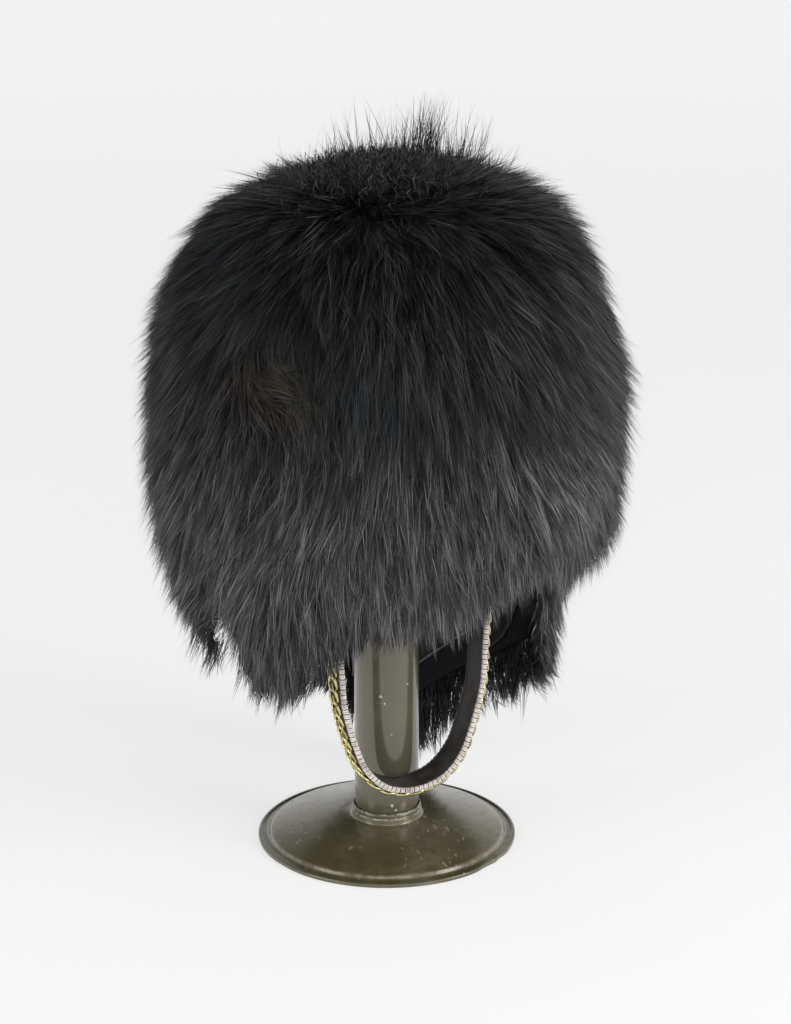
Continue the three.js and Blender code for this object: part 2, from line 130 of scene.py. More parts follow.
class Nodes:
    """The nodes of a material or of the world."""

    def __init__(self, tree):
        self.tree = tree

    def feed(self, node, inputs):
        for name, value in inputs.items():
            socket = next((s for s in node.inputs if s.identifier == name), None) or node.inputs[name]
            if isinstance(value, Value):
                self.tree.links.new(value.socket, socket)
            else:
                colour = socket.type == "RGBA" and len(value) == 3
                socket.default_value = (*value, 1.0) if colour else value

    def node(self, kind, settings=None, inputs=None, output=0):
        made = self.tree.nodes.new(kind)
        for name, value in (settings or {}).items():
            setattr(made, name, value)
        self.feed(made, inputs or {})
        named = next((s for s in made.outputs if s.identifier == output), None)
        return Value(self, named or made.outputs[output])

    def place(self, stretch=(1, 1, 1)):
        """The point on the object, in metres, stretched along each axis."""
        point = self.node("ShaderNodeTexCoord", output="Object")
        return self.node("ShaderNodeVectorMath", {"operation": "MULTIPLY"}, {0: point, 1: stretch}, "Vector")

    def height(self):
        return self.node("ShaderNodeSeparateXYZ", inputs={0: self.place()}, output="Z")

    def off_axis(self):
        """Distance from the upright axis of the stand."""
        flat = self.place((1, 1, 0))
        return self.node("ShaderNodeVectorMath", {"operation": "LENGTH"}, {0: flat}, "Value")

    def noise(self, scale, detail=3.0, roughness=0.55, stretch=(1, 1, 1)):
        inputs = {"Vector": self.place(stretch), "Scale": scale, "Detail": detail, "Roughness": roughness}
        return self.node("ShaderNodeTexNoise", inputs=inputs)

    def attribute(self, name):
        return self.node("ShaderNodeAttribute", {"attribute_name": name}, output="Fac")


class Finish(Nodes):
    """A material with one Principled surface. What is the same all over it is set when it is made."""

    def __init__(self, name, **constants):
        self.material = bpy.data.materials.new(name)
        self.material.use_nodes = True
        super().__init__(self.material.node_tree)
        self.surface = self.tree.nodes["Principled BSDF"]
        self.paint(**constants)

    def paint(self, **values):
        self.feed(self.surface, {name.replace("_", " "): value for name, value in values.items()})

    def bump(self, height, distance, strength=1.0):
        inputs = {"Height": height, "Distance": distance, "Strength": strength}
        self.feed(self.surface, {"Normal": self.node("ShaderNodeBump", inputs=inputs)})


def placed(name, mesh, finish):
    """The mesh as an object in the scene, with its material."""
    mesh.materials.append(finish.material)
    made = bpy.data.objects.new(name, mesh)
    bpy.context.scene.collection.objects.link(made)
    return made


def tube_bundle(name, finish, tubes, closed_along=False):
    """A smooth piece of like tubes over rings of points, (tubes, rings, points, 3)."""
    count, rows, columns = tubes.shape[:3]
    r, c = np.meshgrid(np.arange(rows if closed_along else rows - 1), np.arange(columns), indexing="ij")
    r_next, c_next = (r + 1) % rows, (c + 1) % columns
    corners = [r * columns + c, r * columns + c_next, r_next * columns + c_next, r_next * columns + c]
    faces = np.stack(corners, -1).reshape(1, -1, 4) + (np.arange(count) * rows * columns)[:, None, None]
    mesh = bpy.data.meshes.new(name)
    mesh.from_pydata(tubes.reshape(-1, 3).tolist(), [], faces.reshape(-1, 4).tolist())
    mesh.update()
    mesh.shade_smooth()
    return placed(name, mesh, finish)


def grid_mesh(name, finish, rings, closed_along=False):
    """A smooth piece over rings of points of equal length, (rings, points, 3)."""
    return tube_bundle(name, finish, rings[None], closed_along)


def rounded(profile, steps=3):
    """A profile of (x, height, corner radius) with its corners rounded."""
    points = []
    for i, (x, z, radius) in enumerate(profile):
        here = np.array([x, z])
        if radius == 0:
            points.append(here)
            continue
        before = np.array(profile[i - 1][:2]) - here
        after = np.array(profile[(i + 1) % len(profile)][:2]) - here
        reach = min(radius, 0.45 * np.hypot(*before), 0.45 * np.hypot(*after))
        start = here + before / np.hypot(*before) * reach
        end = here + after / np.hypot(*after) * reach
        for t in np.linspace(0, 1, steps + 1):
            points.append((1 - t) ** 2 * start + 2 * t * (1 - t) * here + t**2 * end)
    return np.array(points)


def spin(name, finish, profile, sides=128, closed=True):
    """A turned piece over a profile of (radius, height)."""
    angle = np.linspace(0, 2 * np.pi, sides, endpoint=False)
    x = profile[:, None, 0] * np.sin(angle)
    y = -profile[:, None, 0] * np.cos(angle)
    z = np.broadcast_to(profile[:, None, 1], x.shape)
    return grid_mesh(name, finish, np.stack([x, y, z], -1), closed_along=closed)


def olive_paint(name, patch_size, gloss):
    """Semi-gloss olive paint with faded patches, pale scratches and dirt, and its masks for more wear."""
    finish = Finish(name, IOR=1.65, Specular_Tint=(1.0, 0.94, 0.84), Coat_Roughness=0.12, Coat_IOR=1.5)
    finish.patches = finish.noise(patch_size, 4).ramp(0.40, 0.68)
    finish.film = finish.noise(patch_size * 6, 5, 0.7).ramp(0.42, 0.75)
    finish.scratches = finish.noise(330, 2, 0.5, (1, 0.35, 1)).ramp(0.63, 0.67)
    finish.scratches = finish.scratches * finish.noise(34, 2).ramp(0.48, 0.58)
    finish.colour = finish.patches.blend(OLIVE, OLIVE_WORN)
    finish.colour = (finish.film * 0.55).blend(finish.colour, OLIVE_DARK)
    finish.colour = (finish.scratches * 0.8).blend(finish.colour, SCRATCHED)
    finish.gloss = gloss + finish.film * 0.12 + finish.scratches * 0.2
    return finish


lip_inner = BASE_RADIUS - LIP_WIDTH
dish_outer = lip_inner - SHOULDER_RUN
neck_bore = TUBE_RADIUS + SEAT_GAP
neck_radius = neck_bore + NECK_WALL
neck_step_radius = neck_radius + NECK_STEP
dish_edge = RIM_HEIGHT + SHOULDER_RISE
neck_foot = dish_edge + DISH_RISE
neck_top = neck_foot + NECK_HEIGHT


def dish_height(radius):
    share = (dish_outer - radius) / (dish_outer - neck_step_radius)
    return dish_edge + DISH_RISE * share + DISH_CROWNING * math.sin(math.pi * share)


dish_radii = np.linspace(neck_step_radius, dish_outer, 9)
base_profile = rounded(
    [(BASE_RADIUS, 0, 0.0008), (BASE_RADIUS, RIM_HEIGHT, 0.0012)]
    + [(BASE_RADIUS - 0.0022, RIM_HEIGHT, 0.0008), (BASE_RADIUS - 0.003, RIM_HEIGHT - 0.0009, 0.0006)]
    + [(lip_inner, RIM_HEIGHT - 0.0006, 0.0014), (dish_outer, dish_edge, 0.0014)]
    + [(r, dish_height(r), 0) for r in dish_radii[-2:0:-1]]
    + [(neck_step_radius, neck_foot, 0.0018), (neck_step_radius, neck_foot + NECK_STEP_HEIGHT, 0.0004)]
    + [(neck_radius, neck_foot + NECK_STEP_HEIGHT, 0.0004), (neck_radius, neck_top - 0.0026, 0.0003)]
    + [(neck_radius + 0.0004, neck_top - 0.0018, 0.0004), (neck_radius, neck_top - 0.0010, 0.0003)]
    + [(neck_radius, neck_top, 0.0004), (neck_bore, neck_top, 0), (neck_bore, neck_foot - BASE_SHEET, 0)]
    + [(r, dish_height(r) - BASE_SHEET, 0) for r in dish_radii]
    + [(lip_inner - BASE_SHEET, RIM_HEIGHT - BASE_SHEET, 0.0008)]
    + [(BASE_RADIUS - RIM_ROLL, RIM_HEIGHT - BASE_SHEET, 0), (BASE_RADIUS - RIM_ROLL, 0, 0.0004)]
)
base_paint = olive_paint("base_paint", 20, 0.22)
rubbed = base_paint.noise(160, 3, 0.6).ramp(0.40, 0.62)
shoulder_wear = base_paint.off_axis().ridge(lip_inner - 0.0012, 0.0014) * rubbed * 0.4
collar = 1 - base_paint.off_axis().ramp(0.0256, 0.0262)
neck_edges = base_paint.height().ridge(neck_top - 0.0002, 0.0007)
neck_edges = neck_edges + base_paint.height().ridge(neck_foot + NECK_STEP_HEIGHT, 0.0008)
neck_wear = collar * neck_edges * base_paint.noise(300, 3, 0.6).ramp(0.42, 0.58)
base_wear = (shoulder_wear * 0.5 + neck_wear).at_most(1.0)
worn_base = shoulder_wear.blend(base_paint.colour, RUBBED_THIN)
base_paint.paint(Base_Color=(neck_wear * 0.8).blend(worn_base, BARE_STEEL))
base_paint.paint(Roughness=base_paint.gloss + base_wear * 0.25, Coat_Weight=0.4 - 0.35 * base_wear)
knocks = base_paint.noise(38, 2) * 1.6 + base_paint.noise(700, 3, 0.6) * 0.18
base_paint.bump(knocks - base_paint.scratches * 0.3 - base_wear * 0.2, 0.00045, 0.4)
base = spin("base_dish", base_paint, base_profile)
for vertex in base.data.vertices:
    radius = math.hypot(vertex.co.x, vertex.co.y)
    turn = math.degrees(math.atan2(vertex.co.x, -vertex.co.y))
    near_rim = max(0.0, 1 - (BASE_RADIUS - radius) / (2 * LIP_WIDTH))
    push = sum(d["depth"] * math.exp(-(((turn - d["turn"]) / d["spread"]) ** 2)) for d in RIM_DENTS)
    vertex.co.x *= 1 - push * near_rim / BASE_RADIUS
    vertex.co.y *= 1 - push * near_rim / BASE_RADIUS
    vertex.co.z += 0.3 * push * near_rim * (1 if vertex.co.z > DENTED_ABOVE else 0)
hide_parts("stand_base")
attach(base, "root")

# Stand: column
# A welded steel tube pushed into the neck of the base and painted with it, still glossy, with a few chips
# down to the bare metal. Its top holds the head of the stand.

TUBE_WALL = 0.002
STAND_HEIGHT = 0.441
HEAD_DOME = 0.014
HEAD_EDGE = 0.006
TUBE_OLIVE = (0.088, 0.080, 0.052)
CHIP_RAGGEDNESS = 0.0016
CHIPS = table(
    "turn z size",
    (-22, 0.1134, 0.0012),
    (-15, 0.1083, 0.0009),
    (-3, 0.0850, 0.0007),
    (-2, 0.0307, 0.0012),
    (5, 0.0271, 0.0008),
    (28, 0.1210, 0.0008),
    (151, 0.0900, 0.0010),
    (-120, 0.0700, 0.0009),
)

column_paint = olive_paint("column_paint", 9, 0.14)
chipped = 0.0
for chip in CHIPS:
    angle = math.radians(chip["turn"])
    middle = (TUBE_RADIUS * math.sin(angle), -TUBE_RADIUS * math.cos(angle), chip["z"])
    inputs = {0: column_paint.place(), 1: middle}
    off = column_paint.node("ShaderNodeVectorMath", {"operation": "DISTANCE"}, inputs, "Value")
    off = off + (column_paint.noise(900, 2) - 0.5) * CHIP_RAGGEDNESS
    chipped = chipped + (1 - off.ramp(chip["size"] * 0.8, chip["size"]))
column_colour = (column_paint.patches * 0.5 + column_paint.film * 0.15).blend(TUBE_OLIVE, OLIVE_WORN)
column_paint.paint(Base_Color=chipped.blend(column_colour, BARE_STEEL), IOR=1.75)
column_paint.paint(Roughness=column_paint.gloss + chipped * 0.3, Coat_Weight=0.35 - 0.3 * chipped)
column_waves = column_paint.noise(16, 1, 0.5, (1, 1, 0.5)) * 2.5 + column_paint.noise(800, 3, 0.6) * 0.12
column_paint.bump(column_waves - chipped * 0.4, 0.0004, 0.35)
tube_top = STAND_HEIGHT - HEAD_DOME - HEAD_EDGE - SEAT_GAP
tube_levels = np.linspace(neck_foot - BASE_SHEET, tube_top, 24)
tube_bore = TUBE_RADIUS - TUBE_WALL
column_profile = [(TUBE_RADIUS, z) for z in tube_levels] + [(tube_bore, z) for z in tube_levels[::-1]]
column = spin("column_tube", column_paint, np.array(column_profile), 96)
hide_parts("stand_column")
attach(column, "root")

# Stand: head
# A domed disc on a spigot in the tube, which carries the crown of the cap from inside.
# It is painted with the rest and rubbed by the cap.

HEAD_RADIUS = 0.055
SPIGOT_LENGTH = 0.020

head_under = STAND_HEIGHT - HEAD_DOME - HEAD_EDGE
spigot_radius = tube_bore - SEAT_GAP
head_profile = rounded(
    [(0.0002, head_under - SPIGOT_LENGTH, 0), (spigot_radius, head_under - SPIGOT_LENGTH, 0.001)]
    + [(spigot_radius, head_under, 0.0008), (HEAD_RADIUS, head_under, 0.0015)]
    + [(HEAD_RADIUS * s, STAND_HEIGHT - HEAD_DOME * s**1.5, 0) for s in np.linspace(1, 0.02, 12)]
)
head_paint = olive_paint("head_paint", 22, 0.3)
head_paint.paint(Base_Color=head_paint.colour, Roughness=head_paint.gloss)
head_paint.paint(Coat_Weight=0.3 - 0.2 * head_paint.scratches)
head_paint.bump(head_paint.noise(60, 2) + head_paint.noise(800, 3) * 0.2, 0.0004, 0.4)
head = spin("head_disc", head_paint, head_profile, 96, closed=False)
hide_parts("stand_head")
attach(head, "root")

# Cap: shell
# A stiff hollow body, high over the brow and low at the nape, lined inside with plain black cloth.
# The hide is stretched over it and sewn down at its hem.

CROWN_TOP = STAND_HEIGHT + SEAT_GAP + 0.003
SHELL_HALF_WIDTH = 0.118
SHELL_HALF_DEPTH = 0.125
SHELL_WALL = 0.003
SHELL_DROP = 0.385
ROUND_STEPS = 120
SMALLEST_HOLE = 0.004
SHELL_FALL = [0, 0.013, 0.05, 0.13, 0.245, 0.4, 0.6, 0.8, 1.0]
SHELL_WIDTH = [0, 0.45, 0.71, 0.91, 1.0, 0.94, 0.775, 0.745, 0.735]
SHELL_DEPTH = [0, 0.45, 0.71, 0.91, 1.0, 0.96, 0.865, 0.845, 0.84]
HEM = table(
    "turn drop hair draw",
    (-180, 0.93, 0.8, 0.9),
    (-158, 0.81, 0.65, 0.9),
    (-130, 0.7, 0.5, 0.95),
    (-100, 0.66, 0.45, 0.98),
    (-82, 0.66, 0.3, 0.98),
    (-78, 0.66, 0.45, 0.98),
    (-75.5, 0.66, 0.85, 0.98),
    (-72.5, 0.658, 0.3, 0.97),
    (-69, 0.656, 0.0, 0.96),
    (-61, 0.652, 0.0, 0.95),
    (-57.5, 0.65, 0.9, 0.93),
    (-45, 0.65, 0.95, 0.9),
    (-22, 0.6, 0.5, 0.86),
    (5, 0.575, 0.5, 0.88),
    (45, 0.575, 0.0, 0.92),
    (66, 0.64, 0.15, 0.9),
    (80, 0.71, 0.7, 0.88),
    (96, 0.79, 0.75, 0.86),
    (114, 0.855, 0.7, 0.84),
    (130, 0.905, 0.65, 0.84),
    (154, 0.985, 0.85, 0.84),
    (180, 0.93, 0.8, 0.9),
)


def round_table(rows, column, turn):
    """A table's value at each direction in degrees, where 0 is the front and 90 the wearer's left."""
    return np.interp(turn, [row["turn"] for row in rows], [row[column] for row in rows])


def hem_height(turn):
    return CROWN_TOP - SHELL_DROP * round_table(HEM, "drop", turn)


def out_at(turn, half_width, half_depth, z):
    angle = np.radians(turn)
    x, y, z = np.broadcast_arrays(half_width * np.sin(angle), -half_depth * np.cos(angle), z)
    return np.stack([x, y, z], -1)


def shell_at(turn, z, inwards=0.0):
    fall = (CROWN_TOP - z) / SHELL_DROP
    width = np.interp(fall, SHELL_FALL, SHELL_WIDTH) * SHELL_HALF_WIDTH
    depth = np.interp(fall, SHELL_FALL, SHELL_DEPTH) * SHELL_HALF_DEPTH
    return out_at(turn, width - inwards, depth - inwards, z)


shell_turns = np.linspace(-180, 180, ROUND_STEPS, endpoint=False)
shell_shares = np.concatenate([[0.002, 0.01], np.linspace(0.03, 1, 40)])
hem_now = hem_height(shell_turns)
outer_rings = [shell_at(shell_turns, CROWN_TOP - s * (CROWN_TOP - hem_now)) for s in shell_shares]
inner_top = CROWN_TOP - SHELL_WALL
inner_rings = []
for s in shell_shares[::-1]:
    ring = shell_at(shell_turns, CROWN_TOP - s * (CROWN_TOP - hem_now), SHELL_WALL)
    ring[:, 2] = np.minimum(ring[:, 2], inner_top - s * (inner_top - hem_now))
    if np.hypot(ring[:, 0], ring[:, 1]).min() > SMALLEST_HOLE:
        inner_rings.append(ring)
lining = Finish("lining_cloth", Roughness=0.9, IOR=1.3, Sheen_Weight=0.05, Sheen_Roughness=0.5)
lining_folds = lining.noise(26, 3, 0.5, (1, 1, 0.3))
lining.paint(Base_Color=lining_folds.ramp(0.3, 0.7).blend((0.003, 0.002, 0.004), (0.008, 0.006, 0.009)))
lining.bump(lining_folds * 1.0 + lining.noise(1500, 2) * 0.12, 0.002, 0.6)
shell = grid_mesh("cap_lining", lining, np.array(outer_rings + inner_rings))
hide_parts("cap_shell")
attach(shell, "root")

# Cap: headband
# A band of dark leather sewn inside the shell a little above the hem.
# A piping of greyer leather is sewn along its lower edge.

BAND_LIFT = 0.025
BAND_HEIGHT = 0.070
BAND_THICKNESS = 0.0015
PIPING_RADIUS = 0.0012
PIPING_SIDES = 8

band_leather = Finish("band_leather", IOR=1.4)
band_creases = band_leather.noise(70, 4, 0.6, (1, 1, 0.5))
band_tone = band_creases.ramp(0.35, 0.7)
band_leather.paint(Base_Color=band_tone.blend((0.012, 0.011, 0.013), (0.034, 0.032, 0.035)))
band_leather.paint(Roughness=0.45 + band_tone * 0.2)
band_leather.bump(band_creases + band_leather.noise(900, 3) * 0.3, 0.0006, 0.5)
band_outer = SHELL_WALL + SEAT_GAP
band_inner = band_outer + BAND_THICKNESS
band_section = [(band_outer, share) for share in (0, 0.5, 1)] + [(band_inner, share) for share in (1, 0.5, 0)]
band_foot = hem_now + BAND_LIFT
band_rings = [shell_at(shell_turns, band_foot + share * BAND_HEIGHT, depth) for depth, share in band_section]
band = grid_mesh("leather_band", band_leather, np.array(band_rings), closed_along=True)
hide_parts("headband")
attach(band, "root")

piping_leather = Finish("piping_leather", IOR=1.45)
piping_wear = piping_leather.noise(240, 3, 0.6).ramp(0.35, 0.7)
piping_leather.paint(Base_Color=piping_wear.blend((0.055, 0.053, 0.056), (0.13, 0.125, 0.13)))
piping_leather.paint(Roughness=0.4 + piping_wear * 0.25)
piping_leather.bump(piping_wear, 0.0002, 0.5)
piping_rings = []
for angle in np.linspace(0, 2 * np.pi, PIPING_SIDES, endpoint=False):
    inwards = band_outer + PIPING_RADIUS + PIPING_RADIUS * math.cos(angle)
    piping_rings.append(shell_at(shell_turns, band_foot - PIPING_RADIUS * (1 - math.sin(angle)), inwards))
piping = grid_mesh("band_piping", piping_leather, np.array(piping_rings), closed_along=True)
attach(piping, "root")

# Chin strap
# A ribbon of grey-brown leather, whose ends lie on the headband and whose loop hangs before the tube.
# It hangs a little to one side, and its inner face, which meets the chin, is worn smooth and dark.

STRAP_WIDTH = 0.024
STRAP_THICKNESS = 0.0026
STRAP_CORNER = 0.0007
STRAP_STEPS = 240
STRAP_DROP = 0.185
STRAP_SWAY = 0.008
STRAP_LOOP_TURN = 13
COLUMN_CLEARANCE = 0.0025
STRAP_END = np.array([0.08863, -0.01385, 0.23748])
STRAP_ROUTE = table(
    "down across forward left right",
    (0.0, 1.0, 0.0, 7, -7),
    (0.073, 0.915, 0.08, 6, -2),
    (0.18, 0.76, 0.42, 5, 5),
    (0.3, 0.65, 0.8, 6, 10),
    (0.435, 0.6, 0.96, 7, 12),
    (0.614, 0.574, 1.0, 7, 12),
    (0.711, 0.531, 1.0, 8, 12),
    (0.797, 0.478, 1.0, 9, 12),
    (0.873, 0.418, 1.0, 10, 12),
    (0.927, 0.341, 1.0, 11, 13),
    (0.97, 0.24, 1.0, 12, 13),
    (0.993, 0.12, 1.0, 13, 13),
)


def strap_point(row, side):
    x = side * STRAP_END[0] * row["across"] + STRAP_SWAY * row["forward"]
    loop_y = -(TUBE_RADIUS + COLUMN_CLEARANCE + STRAP_WIDTH / 2) + x * math.tan(math.radians(STRAP_LOOP_TURN))
    y = STRAP_END[1] + (loop_y - STRAP_END[1]) * row["forward"]
    return (x, y, STRAP_END[2] - row["down"] * STRAP_DROP)


def smooth_route(points, steps=60):
    """A centripetal Catmull-Rom curve through the points, and the row that each of its points is on."""
    points = np.vstack([2 * points[0] - points[1], points, 2 * points[-1] - points[-2]])
    route, rows = [], []
    for i in range(len(points) - 3):
        p0, p1, p2, p3 = points[i : i + 4]
        d0, d1, d2 = (math.sqrt(np.linalg.norm(b - a)) for a, b in ((p0, p1), (p1, p2), (p2, p3)))
        leave = ((p1 - p0) / d0 - (p2 - p0) / (d0 + d1) + (p2 - p1) / d1) * d1
        arrive = ((p2 - p1) / d1 - (p3 - p1) / (d1 + d2) + (p3 - p2) / d2) * d1
        for t in np.linspace(0, 1, steps, endpoint=False):
            bend = (2 * t**3 - 3 * t**2 + 1) * p1 + (t**3 - 2 * t**2 + t) * leave
            route.append(bend + (-2 * t**3 + 3 * t**2) * p2 + (t**3 - t**2) * arrive)
            rows.append(i + t)
    return np.array(route + [points[-2]]), np.array(rows + [len(points) - 3])


chin = {"down": 1, "across": 0, "forward": 1}
strap_places = [strap_point(row, -1) for row in STRAP_ROUTE] + [strap_point(chin, 1)]
strap_places += [strap_point(row, 1) for row in STRAP_ROUTE[::-1]]
strap_twists = [row["left"] for row in STRAP_ROUTE] + [STRAP_LOOP_TURN]
strap_twists += [row["right"] for row in STRAP_ROUTE[::-1]]
strap_route, strap_rows = smooth_route(np.array(strap_places))
strap_runs = np.concatenate([[0], np.cumsum(np.linalg.norm(np.diff(strap_route, axis=0), axis=1))])
strap_length = strap_runs[-1]


def on_strap(run, across_by, out_by):
    """Points of the strap at distances along it, moved across it and out from the loop."""
    run, across_by, out_by = np.broadcast_arrays(run, across_by, out_by)
    step = 0.0008
    at, ahead, behind = (
        np.stack([np.interp(run + shift, strap_runs, strap_route[:, k]) for k in range(3)], -1)
        for shift in (0, step, -step)
    )
    along = ahead - behind
    along /= np.linalg.norm(along, axis=-1, keepdims=True)
    row = np.interp(run, strap_runs, strap_rows)
    twist = np.radians(np.interp(row, np.arange(len(strap_twists)), strap_twists))
    across = np.stack([-np.sin(twist), np.cos(twist), np.zeros_like(twist)], -1)
    across -= along * (across * along).sum(-1, keepdims=True)
    across /= np.linalg.norm(across, axis=-1, keepdims=True)
    out = np.cross(across, along)
    return at + across * across_by[..., None] + out * out_by[..., None]


half_width, half_thick = STRAP_WIDTH / 2, STRAP_THICKNESS / 2
strap_leather = Finish("strap_leather", IOR=1.45)
strap_wear = strap_leather.noise(90, 4, 0.65).ramp(0.38, 0.7)
strap_sweat = strap_leather.noise(28, 3).ramp(0.4, 0.65)
strap_colour = strap_wear.blend((0.034, 0.030, 0.029), (0.085, 0.075, 0.072))
strap_leather.paint(Base_Color=(strap_sweat * 0.5).blend(strap_colour, (0.050, 0.042, 0.040)))
strap_leather.paint(Roughness=0.42 + strap_wear * 0.22)
strap_leather.bump(strap_leather.noise(1400, 3, 0.6) * 0.35 + strap_leather.noise(220, 4, 0.6), 0.0004, 0.5)
strap_corners = [(1, 1), (-1, 1), (-1, -1), (1, -1)]
strap_section = rounded([(half_width * x, half_thick * y, STRAP_CORNER) for x, y in strap_corners])
strap_steps = np.linspace(0, strap_length, STRAP_STEPS)
strap_rings = [on_strap(run, strap_section[:, 0], strap_section[:, 1]) for run in strap_steps]
end_caps = [np.repeat(ring.mean(0)[None], len(ring), 0) for ring in (strap_rings[0], strap_rings[-1])]
strap = grid_mesh("chin_strap_leather", strap_leather, np.array([end_caps[0]] + strap_rings + [end_caps[1]]))
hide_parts("chin_strap")
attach(strap, "root")

# Chin strap: oversewn edges
# Pinkish-white waxed thread whipped round both edges of the strap, two turns to each hole.
# The pairs stand a little apart, and at the rear edge the thread is painted nearly as dark as the leather, as
# painted shade.

STITCH_PITCH = 0.0036
STITCH_PAIR = 0.00078
STITCH_RADIUS = 0.00072
STITCH_SIDES = 6
STITCH_BENDS = 9
FIRST_HOLE = 0.004
CLEAN_THREAD = ((0.75, 0.69, 0.65), (0.45, 0.39, 0.36))
# Painted shade: the thread on the rear edge is painted nearly as dark as the leather.
PAINTED_SHADE_THREAD = ((0.15, 0.135, 0.125), (0.08, 0.07, 0.066))
EDGES = table(
    "name side bite tones",
    ("front_stitches", -1, 0.0017, CLEAN_THREAD),
    ("rear_stitches", 1, 0.0015, PAINTED_SHADE_THREAD),
)

stitch_random = np.random.default_rng(11)
stitch_bend = np.linspace(-1, 1, STITCH_BENDS)


def stitch(side, bite, run):
    """The rings of one turn of thread round an edge of the strap, (bends, sides, 3)."""
    lean = 0.0004 * side + stitch_random.normal(0, 0.00010)
    bite += stitch_random.normal(0, 0.00018)
    fat = STITCH_RADIUS * stitch_random.uniform(0.9, 1.08)
    reach = np.clip(1.45 * (1 - np.abs(stitch_bend)), 0, 1)
    across_by = side * (half_width + 0.45 * fat - (bite + 0.45 * fat) * (1 - reach))
    out_by = np.sign(stitch_bend) * np.clip(np.abs(stitch_bend) * 3.2, 0, 1) * (half_thick + 0.30 * fat)
    run = run + lean * stitch_bend
    path = on_strap(run, across_by, out_by)
    ahead = on_strap(run + 0.001, across_by, out_by) - path
    ahead /= np.linalg.norm(ahead, axis=-1, keepdims=True)
    along = np.gradient(path, axis=0)
    along /= np.linalg.norm(along, axis=-1, keepdims=True)
    aside = np.cross(along, ahead)
    aside /= np.linalg.norm(aside, axis=-1, keepdims=True)
    angle = np.linspace(0, 2 * np.pi, STITCH_SIDES, endpoint=False)[:, None]
    ring = ahead[:, None] * np.cos(angle) * 1.1 + aside[:, None] * np.sin(angle) * 0.9
    thin = np.where(np.abs(stitch_bend) > 0.98, 0.35, 1.0)
    return path[:, None] + ring * (fat * thin)[:, None, None]


for edge in EDGES:
    thread = Finish(edge["name"] + "_thread", Roughness=0.6, IOR=1.4)
    thread_soil = thread.noise(170, 3).ramp(0.40, 0.72)
    thread.paint(Base_Color=thread_soil.blend(*edge["tones"]))
    thread.bump(thread.noise(2600, 2), 0.0002, 0.6)
    holes = np.arange(FIRST_HOLE, strap_length - FIRST_HOLE, STITCH_PITCH)
    places = [hole + beside for hole in holes for beside in (-STITCH_PAIR, STITCH_PAIR)]
    turns = [stitch(edge["side"], edge["bite"], place) for place in places]
    stitches = tube_bundle(edge["name"], thread, np.array(turns))
    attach(stitches, "root")

# Chin chain
# A flat curb chain of yellow brass wire, sewn to the outer face of the strap, a little nearer its front edge.
# Each link is twisted so that it passes through its neighbours, and the links grow towards the chin.

CHAIN_HALF_LENGTH = 0.170
CHAIN_OFF_MIDDLE = -0.0018
LINK_WIDTH = 0.0186
END_LINK_WIDTH = 0.0150
LINK_WIRE = 0.0023
LINK_BITE = 0.00055
LINK_PITCH = 0.55
LINK_BEND_LIMIT = 0.95
LINK_BENDS = 36
LINK_SIDES = 10


def link_width(from_chin):
    share = min(1.0, abs(from_chin) / CHAIN_HALF_LENGTH)
    return LINK_WIDTH + (END_LINK_WIDTH - LINK_WIDTH) * share


def curb_link(from_chin):
    radius = (link_width(from_chin) - LINK_WIRE) / 2
    wire = LINK_WIRE / 2
    crossing = math.acos(min(LINK_BEND_LIMIT, link_width(from_chin) * LINK_PITCH / (2 * radius)))
    rise = (LINK_WIRE - LINK_BITE) / (2 * math.sin(2 * crossing))
    lift = half_thick + SEAT_GAP + rise + wire
    angle = np.linspace(0, 2 * np.pi, LINK_BENDS, endpoint=False)[:, None]
    about = np.linspace(0, 2 * np.pi, LINK_SIDES, endpoint=False)[None]
    reach = radius + wire * np.cos(about)
    run = strap_length / 2 + from_chin + reach * np.cos(angle)
    across = CHAIN_OFF_MIDDLE + reach * np.sin(angle)
    return on_strap(run, across, lift + rise * np.sin(2 * angle) + wire * np.sin(about))


link_places = [0.0]
link_place = link_width(0) * LINK_PITCH
while link_place < CHAIN_HALF_LENGTH:
    link_places += [-link_place, link_place]
    link_place += link_width(link_place) * LINK_PITCH
brass = Finish("chain_brass", Metallic=1.0)
brass_tarnish = brass.noise(160, 4, 0.65).ramp(0.46, 0.72)
brass.paint(Base_Color=brass_tarnish.blend((0.60, 0.54, 0.27), (0.20, 0.17, 0.06)))
brass.paint(Roughness=0.13 + brass_tarnish * 0.22)
brass.bump(brass.noise(700, 3), 0.0002, 0.25)
links = np.array([curb_link(place) for place in link_places])
chain = tube_bundle("chain_links", brass, links, closed_along=True)
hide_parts("chin_chain")
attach(chain, "root")

# Fur: the lie of the coat, and the wool at its roots
# One bear hide with long guard hair, which starts in a whorl over the brow, falls down the cap and hangs
# past the hem in pointed locks. Dark wool under the guard hair closes the coat, down to the hide's sewn edge.

FUR_HALF_WIDTH = 0.162
FUR_HALF_DEPTH = 0.166
FUR_APEX = CROWN_TOP + 0.043
FUR_BODY_DROP = 0.200
HEM_HAIR = 0.060
COAT_FALL = [0, 0.045, 0.14, 0.3, 0.49, 0.7, 0.93]
COAT_REACH = [0, 0.42, 0.7, 0.845, 0.93, 0.985, 1.0]
COAT_HANG = [0, 0.2, 0.6, 1.0]
COAT_HANG_REACH = [1.0, 0.99, 0.955, 0.87]
TUCK = {"turn": 76, "half_turn": 32, "z": 0.178, "half_height": 0.040, "depth": 0.085}
LIE_ROWS = 128
LIE_COLUMNS = 181
LIE_SMOOTHING = 7
LEAST_RADIUS = 0.008
WOOL_DEPTH = 0.0135
WOOL_SHARE = 0.9
WOOL_TURNED_UP = 0.02

lie_turns = np.linspace(-180, 180, LIE_COLUMNS)


def tip_height(turn):
    return hem_height(turn) - HEM_HAIR * round_table(HEM, "hair", turn)


